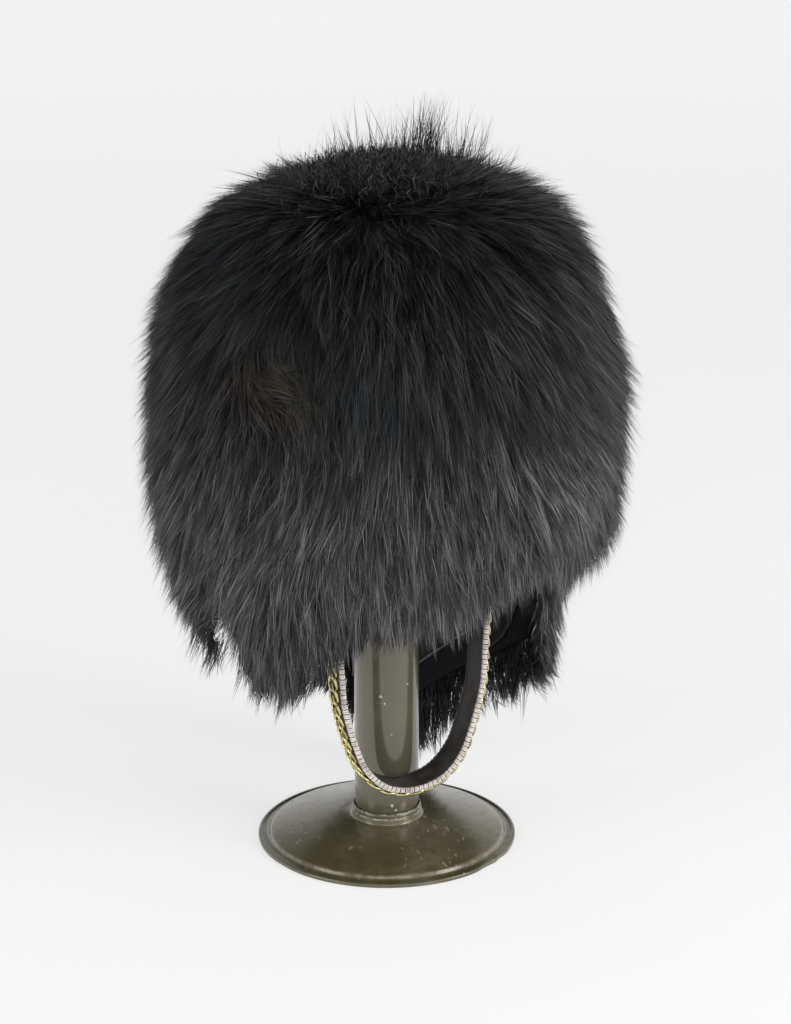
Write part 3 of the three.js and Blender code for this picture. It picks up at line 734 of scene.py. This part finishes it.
def swell(place, turn, z):
    """1 at a place on the coat, fading to 0 round it, and more sharply above and below it."""
    off_turn, off_z = (turn - place["turn"]) / place["half_turn"], (z - place["z"]) / place["half_height"]
    return np.exp(-(off_turn**2) - off_z**4)


def lie_column(turn):
    """The coat's outline in one upright half plane at even steps, and its length."""
    fall = np.linspace(0, COAT_FALL[-1], 120)
    hang = np.linspace(0.1, 1, 40)
    foot = FUR_APEX - FUR_BODY_DROP
    draw = 1 + (round_table(HEM, "draw", turn) - 1) * hang
    body = np.interp(fall, COAT_FALL, COAT_REACH)
    reach = np.concatenate([body, np.interp(hang, COAT_HANG, COAT_HANG_REACH) * draw])
    height = np.concatenate([FUR_APEX - fall * FUR_BODY_DROP, foot + (tip_height(turn) - foot) * hang])
    reach *= 1 - TUCK["depth"] * swell(TUCK, turn, height)
    kernel = np.hanning(2 * LIE_SMOOTHING + 1)
    kernel = kernel / kernel.sum()
    padded = (np.pad(row, LIE_SMOOTHING, mode="edge") for row in (reach, height))
    reach, height = (np.convolve(row, kernel, mode="valid") for row in padded)
    reach[0] = 0
    run = np.concatenate([[0], np.cumsum(np.hypot(np.diff(reach) * FUR_HALF_WIDTH, np.diff(height)))])
    even = np.linspace(0, run[-1], LIE_ROWS)
    reach, height = np.interp(even, run, reach), np.interp(even, run, height)
    return out_at(turn, reach * FUR_HALF_WIDTH, reach * FUR_HALF_DEPTH, height), run[-1]


lie_columns = [lie_column(turn) for turn in lie_turns]
lie_points = np.stack([points for points, _ in lie_columns], 1)
lie_lengths = np.array([length for _, length in lie_columns])


def wrapped(turn):
    """Directions in degrees, brought between -180 and 180."""
    return (turn + 180) % 360 - 180


def coat_at(run, turn):
    """The coat at distances down from the crown: point, ways down, round and out, radius and whole length."""
    turn = wrapped(turn)
    column_at = (turn + 180) / 360 * (LIE_COLUMNS - 1)
    left = np.clip(column_at.astype(int), 0, LIE_COLUMNS - 2)
    mix = (column_at - left)[:, None]
    length = np.interp(turn, lie_turns, lie_lengths)
    row_at = np.clip(run / length, 0, 1) * (LIE_ROWS - 1)
    upper = np.clip(row_at.astype(int), 0, LIE_ROWS - 2)
    step = (row_at - upper)[:, None]
    high = lie_points[upper, left] * (1 - mix) + lie_points[upper, left + 1] * mix
    low = lie_points[upper + 1, left] * (1 - mix) + lie_points[upper + 1, left + 1] * mix
    down = low - high
    down /= np.linalg.norm(down, axis=1, keepdims=True) + 1e-12
    hanging = down * 0.4 + np.array([0, 0, -0.6])
    point = high * (1 - step) + low * step + hanging * np.maximum(run - length, 0)[:, None]
    angle = np.radians(turn)
    round_way = np.stack([np.cos(angle), np.sin(angle), np.zeros_like(angle)], 1)
    round_way -= down * (round_way * down).sum(1, keepdims=True)
    round_way /= np.linalg.norm(round_way, axis=1, keepdims=True)
    radius = np.maximum(np.hypot(point[:, 0], point[:, 1]), LEAST_RADIUS)
    return point, down, round_way, np.cross(down, round_way), radius, length


wool = Finish("undercoat_wool", Roughness=0.9, IOR=1.2)
wool_streaks = wool.noise(300, 3, 0.6, (1, 1, 0.2))
wool.paint(Base_Color=wool_streaks.blend((0.002, 0.002, 0.002), (0.010, 0.009, 0.009)))
wool_reach = np.interp(shell_turns, lie_turns, lie_lengths) - WOOL_SHARE * (hem_now - tip_height(shell_turns))
wool_rings = []
for share in np.concatenate([[0.004, 0.02], np.linspace(0.05, 1, 46)]):
    point, _, _, out, *_ = coat_at(share * wool_reach, shell_turns)
    wool_rings.append(point - out * WOOL_DEPTH)
hem_ring = shell_at(shell_turns, hem_now - 0.001, -0.002)
wool_rings += [hem_ring, hem_ring + np.array([0, 0, WOOL_TURNED_UP])]
undercoat = grid_mesh("undercoat", wool, np.array(wool_rings))
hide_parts("fur")
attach(undercoat, "root")

# Fur: guard hair of the coat
# Black hair 30 to 60 mm long in pointed clumps, painted near black on the crown and lighter grey where it
# hangs and on the wearer's left, as painted light, and painted darker towards each root, as painted shade,
# with a brown cowlick at the front and a blue-black cast low on the wearer's left.

WHORL = np.array([-0.018, -0.014, 0.485])
WHORL_PULL = 2.6
WHORL_REACH = 0.085
COMBED_FROM = 0.10
COMBED_OVER = 0.16
COMBING = table(
    "turn lean",
    (-180, 2),
    (-140, -8),
    (-102, -16),
    (-60, -10),
    (-20, 0),
    (15, 9),
    (50, 20),
    (80, 22),
    (120, 12),
    (180, 2),
)
COWLICK = {"turn": -43, "z": 0.370, "radius": 0.15, "spread": 0.022, "lean": 105, "lift": 0.005}
OVERHANG = {"turn": 70, "half_turn": 28, "z": 0.266, "half_height": 0.020, "lift": 0.014}
CROWN_RIM = {"run": 0.10, "half_run": 0.055, "lift": 0.006}
SLOPES = table(
    "turn half_turn z half_height fall",
    (72, 48, 0.440, 0.034, 0.008),
    (-98, 40, 0.464, 0.022, 0.009),
)
HEM_LOCKS = 92
HEM_LOCK_REACH = 0.011
HEM_LOCK_NOTCH = 0.032
BURIED = 0.012
HIGHEST_LIFT = 0.0155
FLARE = 1.5
LOWEST_TIP = 0.003
COAT_KNOTS = np.array([0.0, 0.5, 1.0])
SHORTEST_HAIR = 0.012
LONGEST_RUN = 0.62
WIDEST_RADIUS = 0.168
NOISE_WAVES = 7
# Painted light: how far the hair is painted towards a lighter grey at each height, most where it hangs and
# least on the crown, where little light falls.
PAINTED_LIGHT_HEIGHTS = [0.12, 0.22, 0.27, 0.31, 0.36, 0.44, 0.50]
PAINTED_LIGHT = [0.74, 0.72, 0.62, 0.39, 0.17, 0.15, 0.29]
FUR_BLACK = (0.0042, 0.0036, 0.0042)
# The lighter grey that the hair is painted towards, as painted light.
FUR_PAINTED_LIGHT = (0.255, 0.242, 0.256)
FUR_BROWN = (0.100, 0.078, 0.050)
FUR_BLUE = (0.036, 0.050, 0.056)
COAT_SECTORS = table(
    "name low high seed",
    ("fur_front", -48, 24, 31),
    ("fur_left", 24, 96, 32),
    ("fur_back_left", 96, 168, 33),
    ("fur_back_right", 168, 240, 34),
    ("fur_right", 240, 312, 35),
)
CLUMPS_IN_SECTOR = 3250
HAIRS_IN_CLUMP = 15
LOW_COAT = 0.08
HEM_ROOTS = 0.04
HEM_PULL = 0.85
HEM_SINK = 0.010
TUCK_SINK = 0.008
LOCK_LENGTH = (0.032, 0.060)
LOCK_LIFT = (0.003, 0.0045)
LOCK_LIFT_LIMITS = (-0.004, 0.013)
LOCK_LEAN = 9
LOCK_BEND = 0.0018
LOCK_TONE = (0.38, 0.19)
LOCK_CLOSING = (0.6, 0.88)
STRAY_SHARE = 0.07
STRAY_WILDNESS = 3.2
HAIR_WIDTH = (0.00034, 0.00062)
QUICK_SHARE = 1.0


def blades(name, finish, path, width, face, marks):
    """A piece of flat tapering hairs on paths (hairs, knots, 3), each with its width, facing and marks."""
    count, rungs = path.shape[:2]
    grown = np.linspace(0, 1, rungs)
    side = np.cross(np.gradient(path, axis=1), face[:, None])
    side /= np.linalg.norm(side, axis=2, keepdims=True) + 1e-12
    spread = side * (width[:, None] * np.minimum(1, 1.9 * (1 - grown)) / 2)[:, :, None]
    left, right = path - spread, path + spread
    corners = np.concatenate([np.stack([left, right], 2)[:, :-1].reshape(count, -1, 3), path[:, -1:]], 1)
    per = corners.shape[1]
    quads = [corner for k in range(rungs - 2) for corner in (2 * k, 2 * k + 1, 2 * k + 3, 2 * k + 2)]
    pattern = np.array(quads + [2 * rungs - 4, 2 * rungs - 3, 2 * rungs - 2])
    loops = (pattern[None] + (np.arange(count) * per)[:, None]).ravel()
    sizes = np.tile([4] * (rungs - 2) + [3], count)
    mesh = bpy.data.meshes.new(name)
    mesh.vertices.add(count * per)
    mesh.vertices.foreach_set("co", corners.astype(np.float32).ravel())
    mesh.loops.add(len(loops))
    mesh.loops.foreach_set("vertex_index", loops.astype(np.int32))
    mesh.polygons.add(len(sizes))
    mesh.polygons.foreach_set("loop_start", np.concatenate([[0], np.cumsum(sizes)[:-1]]).astype(np.int32))
    mesh.update(calc_edges=True)
    up_hair = np.concatenate([np.repeat(grown[:-1], 2), grown[-1:]])
    labels = {label: np.repeat(values, per) for label, values in marks.items()}
    for label, values in {**labels, "grown": np.tile(up_hair, count)}.items():
        mesh.attributes.new(label, "FLOAT", "POINT").data.foreach_set("value", values.astype(np.float32))
    cells = math.ceil(math.sqrt(count))
    across = np.concatenate([np.tile([0.2, 0.8], rungs - 1), [0.5]])
    grid = np.stack([np.arange(count) % cells, np.arange(count) // cells], 1)
    unwrapped = (grid[:, None] + np.stack([across, 0.1 + 0.8 * up_hair], 1)[None]) / cells
    corner_uv = unwrapped.reshape(-1, 2)[loops].astype(np.float32)
    mesh.uv_layers.new(name="OFBake").data.foreach_set("uv", corner_uv.ravel())
    made = placed(name, mesh, finish)
    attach(made, "root")
    return made


def smooth_noise(run, turn, seed, size):
    """Even noise over the coat, about -1 to 1, whose patches are size metres across."""
    random = np.random.default_rng(seed)
    total = np.zeros_like(run)
    for _ in range(NOISE_WAVES):
        waves_round = random.integers(1, max(2, int(0.9 / size)))
        waves_down = random.uniform(0.3, 1.0) * 2 * np.pi / size
        total += np.sin(waves_round * np.radians(turn) + waves_down * run + random.uniform(0, 2 * np.pi))
    return total / 2.6


def bell(value, middle, spread):
    """1 at the middle, fading to 0 either side of it."""
    return np.exp(-(((value - middle) / spread) ** 2))


def near_cowlick(turn, z):
    off_turn = np.radians(wrapped(turn - COWLICK["turn"])) * COWLICK["radius"]
    return bell(np.hypot(off_turn, z - COWLICK["z"]), 0, COWLICK["spread"])


def combed_way(point, down, round_way, run, turn, length):
    """The angle from straight down, towards the wearer's left, in which the hair lies."""
    from_whorl = point - WHORL
    distance = np.linalg.norm(from_whorl, axis=1, keepdims=True)
    way = down + from_whorl / (distance + 1e-9) * WHORL_PULL * bell(distance, 0, WHORL_REACH)
    lean = round_table(COMBING, "lean", wrapped(turn)) * np.clip((run - COMBED_FROM) / COMBED_OVER, 0, 1)
    lean *= 1 - 0.75 * np.clip((run - length + 0.09) / 0.07, 0, 1)
    lean += 7 * smooth_noise(run, turn, 5, 0.09) + 5 * smooth_noise(run, turn, 8, 0.035)
    lean += 26 * smooth_noise(run, turn, 9, 0.02) * bell(distance[:, 0], 0, 0.06)
    lean += COWLICK["lean"] * near_cowlick(turn, point[:, 2])
    return np.arctan2((way * round_way).sum(1), (way * down).sum(1)) + np.radians(lean)


lock_random = np.random.default_rng(23)
lock_turns = np.linspace(-180, 180, HEM_LOCKS, endpoint=False) + lock_random.uniform(-1.3, 1.3, HEM_LOCKS)
lock_turns.sort()
lock_reaches = lock_random.uniform(0.2, 1.35, HEM_LOCKS)


def hem_lock(turn):
    """The direction of the hem lock that each hair joins, and how much longer its hair is there."""
    away = wrapped(turn[:, None] - lock_turns[None])
    nearest = np.abs(away).argmin(1)
    off = away[np.arange(len(turn)), nearest]
    share = np.clip(np.abs(off) / (180 / HEM_LOCKS), 0, 1.3)
    return turn - off, (HEM_LOCK_REACH - HEM_LOCK_NOTCH * share**1.15) * lock_reaches[nearest]


def comb(run, turn, length, buried, lift, bend, random_lean, stop):
    """Paths of hairs that start under the coat and lie along it, (hairs, knots, 3)."""
    path = np.zeros((len(run), len(COAT_KNOTS), 3))
    length = np.minimum(length, np.maximum(stop - run, SHORTEST_HAIR))
    point, down, round_way, out, radius, whole = coat_at(run, turn)
    way = combed_way(point, down, round_way, run, turn, whole) + random_lean
    before = 0.0
    for k, t in enumerate(COAT_KNOTS):
        if k:
            step = (t - before) * length
            run = run + step * np.cos(way)
            turn = turn + np.degrees(step * np.sin(way) / radius)
            turn = np.where(run < 0, turn + 180, turn)
            run = np.abs(run)
            point, down, round_way, out, radius, whole = coat_at(run, turn)
            way = way * 0.3 + (combed_way(point, down, round_way, run, turn, whole) + random_lean) * 0.7
            before = t
        height = -buried + (buried + lift) * t**FLARE
        path[:, k] = point + out * height[:, None] + round_way * (bend * t * t)[:, None]
    return path


def coat_clumps(random, count, low_turn, high_turn):
    """Places of clumps, even over the coat between two directions."""
    runs, turns = np.zeros(0), np.zeros(0)
    while len(runs) < count:
        run, turn = random.uniform(0, LONGEST_RUN, 4 * count), random.uniform(low_turn, high_turn, 4 * count)
        *_, radius, length = coat_at(run, turn)
        kept = (run < length - 0.004) & (random.uniform(0, WIDEST_RADIUS, 4 * count) < radius)
        runs, turns = np.append(runs, run[kept]), np.append(turns, turn[kept])
    return runs[:count], wrapped(turns[:count])


def hair_marks(z, turn, tone):
    """How light, brown and blue-black each hair is, with painted light that greys it low down and on the
    wearer's left.
    """
    turn = wrapped(turn)
    painted_light = np.interp(z, PAINTED_LIGHT_HEIGHTS, PAINTED_LIGHT)
    # Painted light: lighter on the wearer's left, where the strongest lamp falls, and a little darker on the
    # wearer's right.
    painted_light *= 1 + 0.9 * bell(turn, 60, 38) - 0.2 * bell(turn, -100, 45)
    painted_light += 0.18 * bell(turn, 48, 24) * bell(z, 0.325, 0.045)
    painted_light *= 1 + 0.25 * smooth_noise(z, turn, 14, 0.05)
    # Painted shade: less painted light at the back, low down.
    behind = bell(np.abs(turn), 180, 60) * np.clip((0.20 - z) / 0.08, 0, 1)
    painted_light *= 1 - 0.8 * behind
    warm = 1.2 * near_cowlick(turn, z) + np.clip(smooth_noise(z, turn, 15, 0.07) - 0.35, 0, 1) * 0.25
    cool = np.clip(smooth_noise(z, turn, 16, 0.09) - 0.1, 0, 1) * 0.6
    cool += 0.7 * bell(turn, 66, 26) * bell(z, 0.26, 0.06)
    marks = {"tone": tone, "painted_light": painted_light, "warm": warm, "cool": cool}
    return {label: np.clip(values, 0, 1) for label, values in marks.items()}


def coat_strands(sector):
    """One sector of the coat as a piece of clumped hairs."""
    random = np.random.default_rng(sector["seed"])
    clumps = int(CLUMPS_IN_SECTOR * QUICK_SHARE)
    run, turn = coat_clumps(random, clumps, sector["low"], sector["high"])
    point, *_, radius, coat_length = coat_at(run, turn)
    middle, extra = hem_lock(turn)
    low = np.clip((run - coat_length + LOW_COAT) / LOW_COAT, 0, 1)
    at_hem = np.clip((run - coat_length + HEM_ROOTS) / HEM_ROOTS, 0, 1)
    turn = turn + (middle - turn) * HEM_PULL * low
    stop = coat_length + extra + random.normal(0, 0.006, clumps)
    length = random.uniform(*LOCK_LENGTH, clumps) * np.clip(0.5 + run / 0.16, 0.55, 1.0)
    lift = np.clip(random.normal(*LOCK_LIFT, clumps), *LOCK_LIFT_LIMITS) - HEM_SINK * at_hem
    lift += CROWN_RIM["lift"] * bell(run, CROWN_RIM["run"], CROWN_RIM["half_run"])
    lift += OVERHANG["lift"] * swell(OVERHANG, turn, point[:, 2]) - TUCK_SINK * swell(TUCK, turn, point[:, 2])
    for slope in SLOPES:
        lift -= slope["fall"] * swell(slope, turn, point[:, 2])
    lift = np.minimum(lift + COWLICK["lift"] * near_cowlick(turn, point[:, 2]), HIGHEST_LIFT)
    lean = np.radians(random.normal(0, LOCK_LEAN, clumps)) * (1 - 0.6 * low) * (1 - at_hem)
    bend = random.normal(0, LOCK_BEND, clumps)
    tone = random.normal(*LOCK_TONE, clumps)
    centre = comb(run, turn, length, np.full(clumps, BURIED), lift, bend, lean, stop)
    which = np.repeat(np.arange(clumps), HAIRS_IN_CLUMP)
    total = len(which)
    own_run = np.maximum(run[which] + random.normal(0, 0.0042, total), 0.0005)
    own_turn = turn[which] + np.degrees(random.normal(0, 0.0034, total) / radius[which])
    stray = random.uniform(0, 1, total) < STRAY_SHARE
    wild = np.where(stray, STRAY_WILDNESS, 1.0)
    own_lift = lift[which] + random.normal(0, 0.0012, total) * wild + np.where(stray, 0.003, 0)
    short = np.abs(random.normal(0, 0.010, total)) - 0.004
    own_length = length[which] * random.uniform(0.7, 1.2, total)
    own_buried = BURIED + random.normal(0, 0.0016, total)
    own_lift = np.minimum(own_lift, HIGHEST_LIFT)
    own_bend = bend[which] + random.normal(0, 0.0011, total) * wild
    own_lean = lean[which] + np.radians(random.normal(0, 4, total)) * wild
    own = comb(own_run, own_turn, own_length, own_buried, own_lift, own_bend, own_lean, stop[which] - short)
    close = random.uniform(*LOCK_CLOSING, total) + 0.08 * low[which]
    close = (np.where(stray, 0.05, close)[:, None] * COAT_KNOTS[None] ** 1.3)[..., None]
    reach = own[:, -1:] - centre[which][:, -1:]
    along = centre[which][:, -1:] - centre[which][:, -2:-1]
    along /= np.linalg.norm(along, axis=2, keepdims=True) + 1e-12
    longer = along * (reach * along).sum(2, keepdims=True)
    path = own + (centre[which] + longer * COAT_KNOTS[None, :, None] - own) * close
    path[:, :, 2] = np.maximum(path[:, :, 2], LOWEST_TIP)
    _, _, round_way, out, *_ = coat_at(own_run, own_turn)
    roll = np.radians(random.normal(0, 40, total))[:, None]
    face = out * np.cos(roll) + round_way * np.sin(roll)
    own_tone_and_glint = tone[which] + random.normal(0, 0.24, total)
    # Painted highlight: one hair in eight is painted much lighter, as a glint.
    own_tone_and_glint = own_tone_and_glint + np.where(random.uniform(0, 1, total) < 0.12, 0.45, 0)
    thick = np.where(stray, 0.55, np.interp(own_tone_and_glint, [0.4, 1.0], [1.0, 1.5]))
    width = random.uniform(*HAIR_WIDTH, total) * thick
    marks = hair_marks(path[:, 1, 2], own_turn, own_tone_and_glint)
    return blades(sector["name"], guard_hair, path, width, face, marks)


guard_hair = Finish("guard_hair", IOR=1.34)
# The tone carries each hair's own random tone and, on the coat, the painted glints.
hair_tone_and_glint, hair_grown = guard_hair.attribute("tone"), guard_hair.attribute("grown")
# Painted shade: each hair is painted darker towards its root, where the coat above shades it.
hair_painted_light = guard_hair.attribute("painted_light") * (0.06 + 2.7 * hair_tone_and_glint**2.8) * (0.05 + 0.95 * hair_grown**1.5)
hair_colour = hair_painted_light.at_most(1.0).blend(FUR_BLACK, FUR_PAINTED_LIGHT)
hair_colour = (guard_hair.attribute("warm") * hair_tone_and_glint).blend(hair_colour, FUR_BROWN)
hair_colour = (guard_hair.attribute("cool") * hair_tone_and_glint).blend(hair_colour, FUR_BLUE)
guard_hair.paint(Base_Color=hair_colour, Roughness=0.34 + 0.2 * hair_tone_and_glint + 0.12 * (1 - hair_grown))
for sector in COAT_SECTORS:
    coat_strands(sector)

# Fur: crown
# Short curly wool crowds round the whorl, and fine long hairs stand straight up from the top,
# fanned out by wear and static.

FRIZZ_MIDDLE = np.array([-0.0130, -0.018])
FRIZZ_SPREAD = np.array([0.026, 0.024])
FRIZZ_HAIRS = int(2600 * QUICK_SHARE)
FRIZZ_ROOT = 0.003
UPRIGHT_ROOT = 0.008
FUZZ_MIDDLE = np.array([0.035, 0.060])
FUZZ_SPREAD = np.array([0.042, 0.011])
FUZZ_HAIRS = int(650 * QUICK_SHARE)
WISP_SPREAD = np.array([0.0042, 0.011])
WISP_TUFTS = table(
    "at tall hairs lean",
    ((-0.023, 0.061), 0.020, 25, -0.15),
    ((-0.012, 0.059), 0.036, 34, -0.20),
    ((0.005, 0.055), 0.044, 26, -0.10),
    ((0.019, 0.052), 0.040, 52, 0.05),
    ((0.029, 0.050), 0.034, 70, 0.15),
    ((0.036, 0.048), 0.047, 130, 0.17),
    ((0.048, 0.046), 0.030, 60, 0.10),
    ((0.055, 0.044), 0.043, 18, 0.05),
    ((0.062, 0.043), 0.035, 50, 0.20),
    ((0.072, 0.041), 0.039, 28, 0.30),
    ((0.087, 0.038), 0.022, 25, 0.45),
)
TALLEST = 0.530


def crown_roots(random, count, middle, spread):
    """Places on the crown scattered about a middle, as distances down the coat and directions."""
    at = np.array(middle) + random.normal(0, 1, (count, 2)) * spread
    return np.hypot(at[:, 0], at[:, 1]), np.degrees(np.arctan2(at[:, 0], -at[:, 1]))


def crown_marks(random, count, tone_spread, painted_light, warm):
    """Marks for hairs of the crown, which differ in tone alone."""
    steady = {"painted_light": painted_light, "warm": warm, "cool": 0.0}
    tone = np.clip(random.normal(0.35, tone_spread, count), 0, 1)
    return {"tone": tone, **{label: np.full(count, value) for label, value in steady.items()}}


crown_random = np.random.default_rng(71)
run, turn = crown_roots(crown_random, FRIZZ_HAIRS, FRIZZ_MIDDLE, FRIZZ_SPREAD)
point, down, round_way, out, *_ = coat_at(run, turn)
way = np.radians(crown_random.uniform(-180, 180, FRIZZ_HAIRS))[:, None]
lying = down * np.cos(way) + round_way * np.sin(way)
sideways = np.cross(lying, out)
t = np.linspace(0, 1, 6)[None, :, None]
frizz_ranges = [(0.007, 0.017), (0.0015, 0.0040), (0, 2 * np.pi), (1.2, 2.4), (0.003, 0.010)]
size, curl, phase, waves, rising = (crown_random.uniform(*ends, (FRIZZ_HAIRS, 1, 1)) for ends in frizz_ranges)
path = point[:, None] - out[:, None] * FRIZZ_ROOT + lying[:, None] * size * t
path = path + out[:, None] * rising * np.sin(np.pi * t * 0.8)
swing = waves * 2 * np.pi * t + phase
path = path + (sideways[:, None] * np.sin(swing) + out[:, None] * np.cos(swing)) * curl
# The frizz is painted lighter than the crown round it, a painted highlight, and tinted brown.
marks = crown_marks(crown_random, FRIZZ_HAIRS, 0.42, 0.6, 0.30)
blades("crown_frizz", guard_hair, path, crown_random.uniform(0.0003, 0.0006, FRIZZ_HAIRS), out, marks)


def standing_hair(random, count, middle, spread, tall, lean, unruly):
    """Paths of hairs that stand up from a place on the crown, (hairs, knots, 3)."""
    point, _, _, out, *_ = coat_at(*crown_roots(random, count, middle, spread))
    way = np.array([lean, 0.05, 1.0]) + random.normal(0, unruly, (count, 3))
    sway = random.normal(0, 0.13, (count, 3))
    tall_now = tall * random.uniform(0.35, 1.0, count) ** 0.8
    t = np.linspace(0, 1, 5)[None, :, None]
    rise = (way[:, None] * t + sway[:, None] * t**2) * (tall_now + UPRIGHT_ROOT)[:, None, None]
    path = point[:, None] - out[:, None] * UPRIGHT_ROOT + rise
    path[:, :, 2] = np.minimum(path[:, :, 2], TALLEST + random.uniform(-0.012, 0, (count, 1)))
    return path


def upright_piece(name, random, path):
    count = len(path)
    face = np.cross(path[:, -1] - path[:, 0], random.normal(0, 1, (count, 3)))
    marks = crown_marks(random, count, 0.2, 0.15, 0.15)
    blades(name, guard_hair, path, random.uniform(0.00026, 0.00046, count), face, marks)


fuzz = standing_hair(crown_random, FUZZ_HAIRS, FUZZ_MIDDLE, FUZZ_SPREAD, 0.013, 0.12, 0.3)
upright_piece("crown_fuzz", crown_random, fuzz)
wisps = [
    standing_hair(crown_random, tuft["hairs"], tuft["at"], WISP_SPREAD, tuft["tall"], tuft["lean"], 0.11)
    for tuft in WISP_TUFTS
]
upright_piece("crown_wisps", crown_random, np.concatenate(wisps))

# Floor, light and camera
# A plain pale floor, soft white light from the sides and the front, and little from above.
# The camera stands a little to the wearer's right of the front and looks down on the cap.

CAMERA_TURN = -12
CAMERA_ELEVATION = 17.41
CAMERA_DISTANCE = 1.8
CAMERA_AIM_HEIGHT = 0.2413
CAMERA_AIM_SHIFT = 0.0063
CAMERA_LENS = 91.62
FLOOR_HALF = 14
FLOOR_NEAR_GLOW = (0.575, 0.575, 0.575)
FLOOR_FAR_GLOW = (0.68, 0.68, 0.68)
SOFTBOXES = table(
    "name turn rise distance size power",
    ("left_box", -70, 16, 2.4, (0.9, 1.8), 15),
    ("right_box", 52, 18, 2.4, (0.9, 1.8), 29),
    ("front_box", -8, 30, 3.0, (2.0, 1.0), 14),
)
LAMP_AIM_HEIGHT = 0.25
HORIZON_LIGHT = 1.0
CEILING_LIGHT = 0.22

floor_mesh = bpy.data.meshes.new("floor")
floor_corners = [(x * FLOOR_HALF, y * FLOOR_HALF, 0) for x, y in ((-1, -1), (1, -1), (1, 1), (-1, 1))]
floor_mesh.from_pydata(floor_corners, [], [(0, 1, 2, 3)])
floor_paper = Finish("floor_paper", Roughness=0.9, IOR=1.1, Emission_Strength=1.0)
floor_paper.paint(Base_Color=floor_paper.noise(3, 2).blend((0.52, 0.52, 0.52), (0.53, 0.53, 0.53)))
floor_paper.paint(Emission_Color=floor_paper.off_axis().ramp(0.3, 5.0).blend(FLOOR_NEAR_GLOW, FLOOR_FAR_GLOW))
placed("floor", floor_mesh, floor_paper)


def look_from(turn, rise):
    """The way from the object to something at a direction round it and a rise, both in degrees."""
    turn, rise = math.radians(turn), math.radians(rise)
    return Vector((math.sin(turn) * math.cos(rise), -math.cos(turn) * math.cos(rise), math.sin(rise)))


def stand_off(name, data, aim, way, distance):
    """A camera or light at a distance from what it is aimed at."""
    made = bpy.data.objects.new(name, data)
    made.location = aim + way * distance
    made.rotation_euler = (-way).to_track_quat("-Z", "Y").to_euler()
    bpy.context.scene.collection.objects.link(made)
    return made


camera_data = bpy.data.cameras.new("camera")
camera_data.lens = CAMERA_LENS
camera_data.sensor_width = 36
camera_data.clip_start, camera_data.clip_end = 0.05, 60
right_way = Vector((math.cos(math.radians(CAMERA_TURN)), math.sin(math.radians(CAMERA_TURN)), 0))
camera_aim = Vector((0, 0, CAMERA_AIM_HEIGHT)) + right_way * CAMERA_AIM_SHIFT
camera_way = look_from(CAMERA_TURN, CAMERA_ELEVATION)
bpy.context.scene.camera = stand_off("camera", camera_data, camera_aim, camera_way, CAMERA_DISTANCE)
for box in SOFTBOXES:
    lamp = bpy.data.lights.new(box["name"], "AREA")
    lamp.shape = "RECTANGLE"
    lamp.size, lamp.size_y = box["size"]
    lamp.energy = box["power"]
    box_way = look_from(box["turn"], box["rise"])
    stand_off(box["name"], lamp, Vector((0, 0, LAMP_AIM_HEIGHT)), box_way, box["distance"])

world = bpy.data.worlds.new("studio")
world.use_nodes = True
bpy.context.scene.world = world
air = Nodes(world.node_tree)
sky_point = air.node("ShaderNodeTexCoord", output="Generated")
sky_height = air.node("ShaderNodeSeparateXYZ", inputs={0: sky_point}, output="Z")
sky_light = sky_height.ramp(0.12, 0.75, HORIZON_LIGHT, CEILING_LIGHT)
air.feed(world.node_tree.nodes["Background"], {"Color": (1.0, 1.0, 1.0), "Strength": sky_light})
bpy.context.scene.view_settings.view_transform = "Standard"
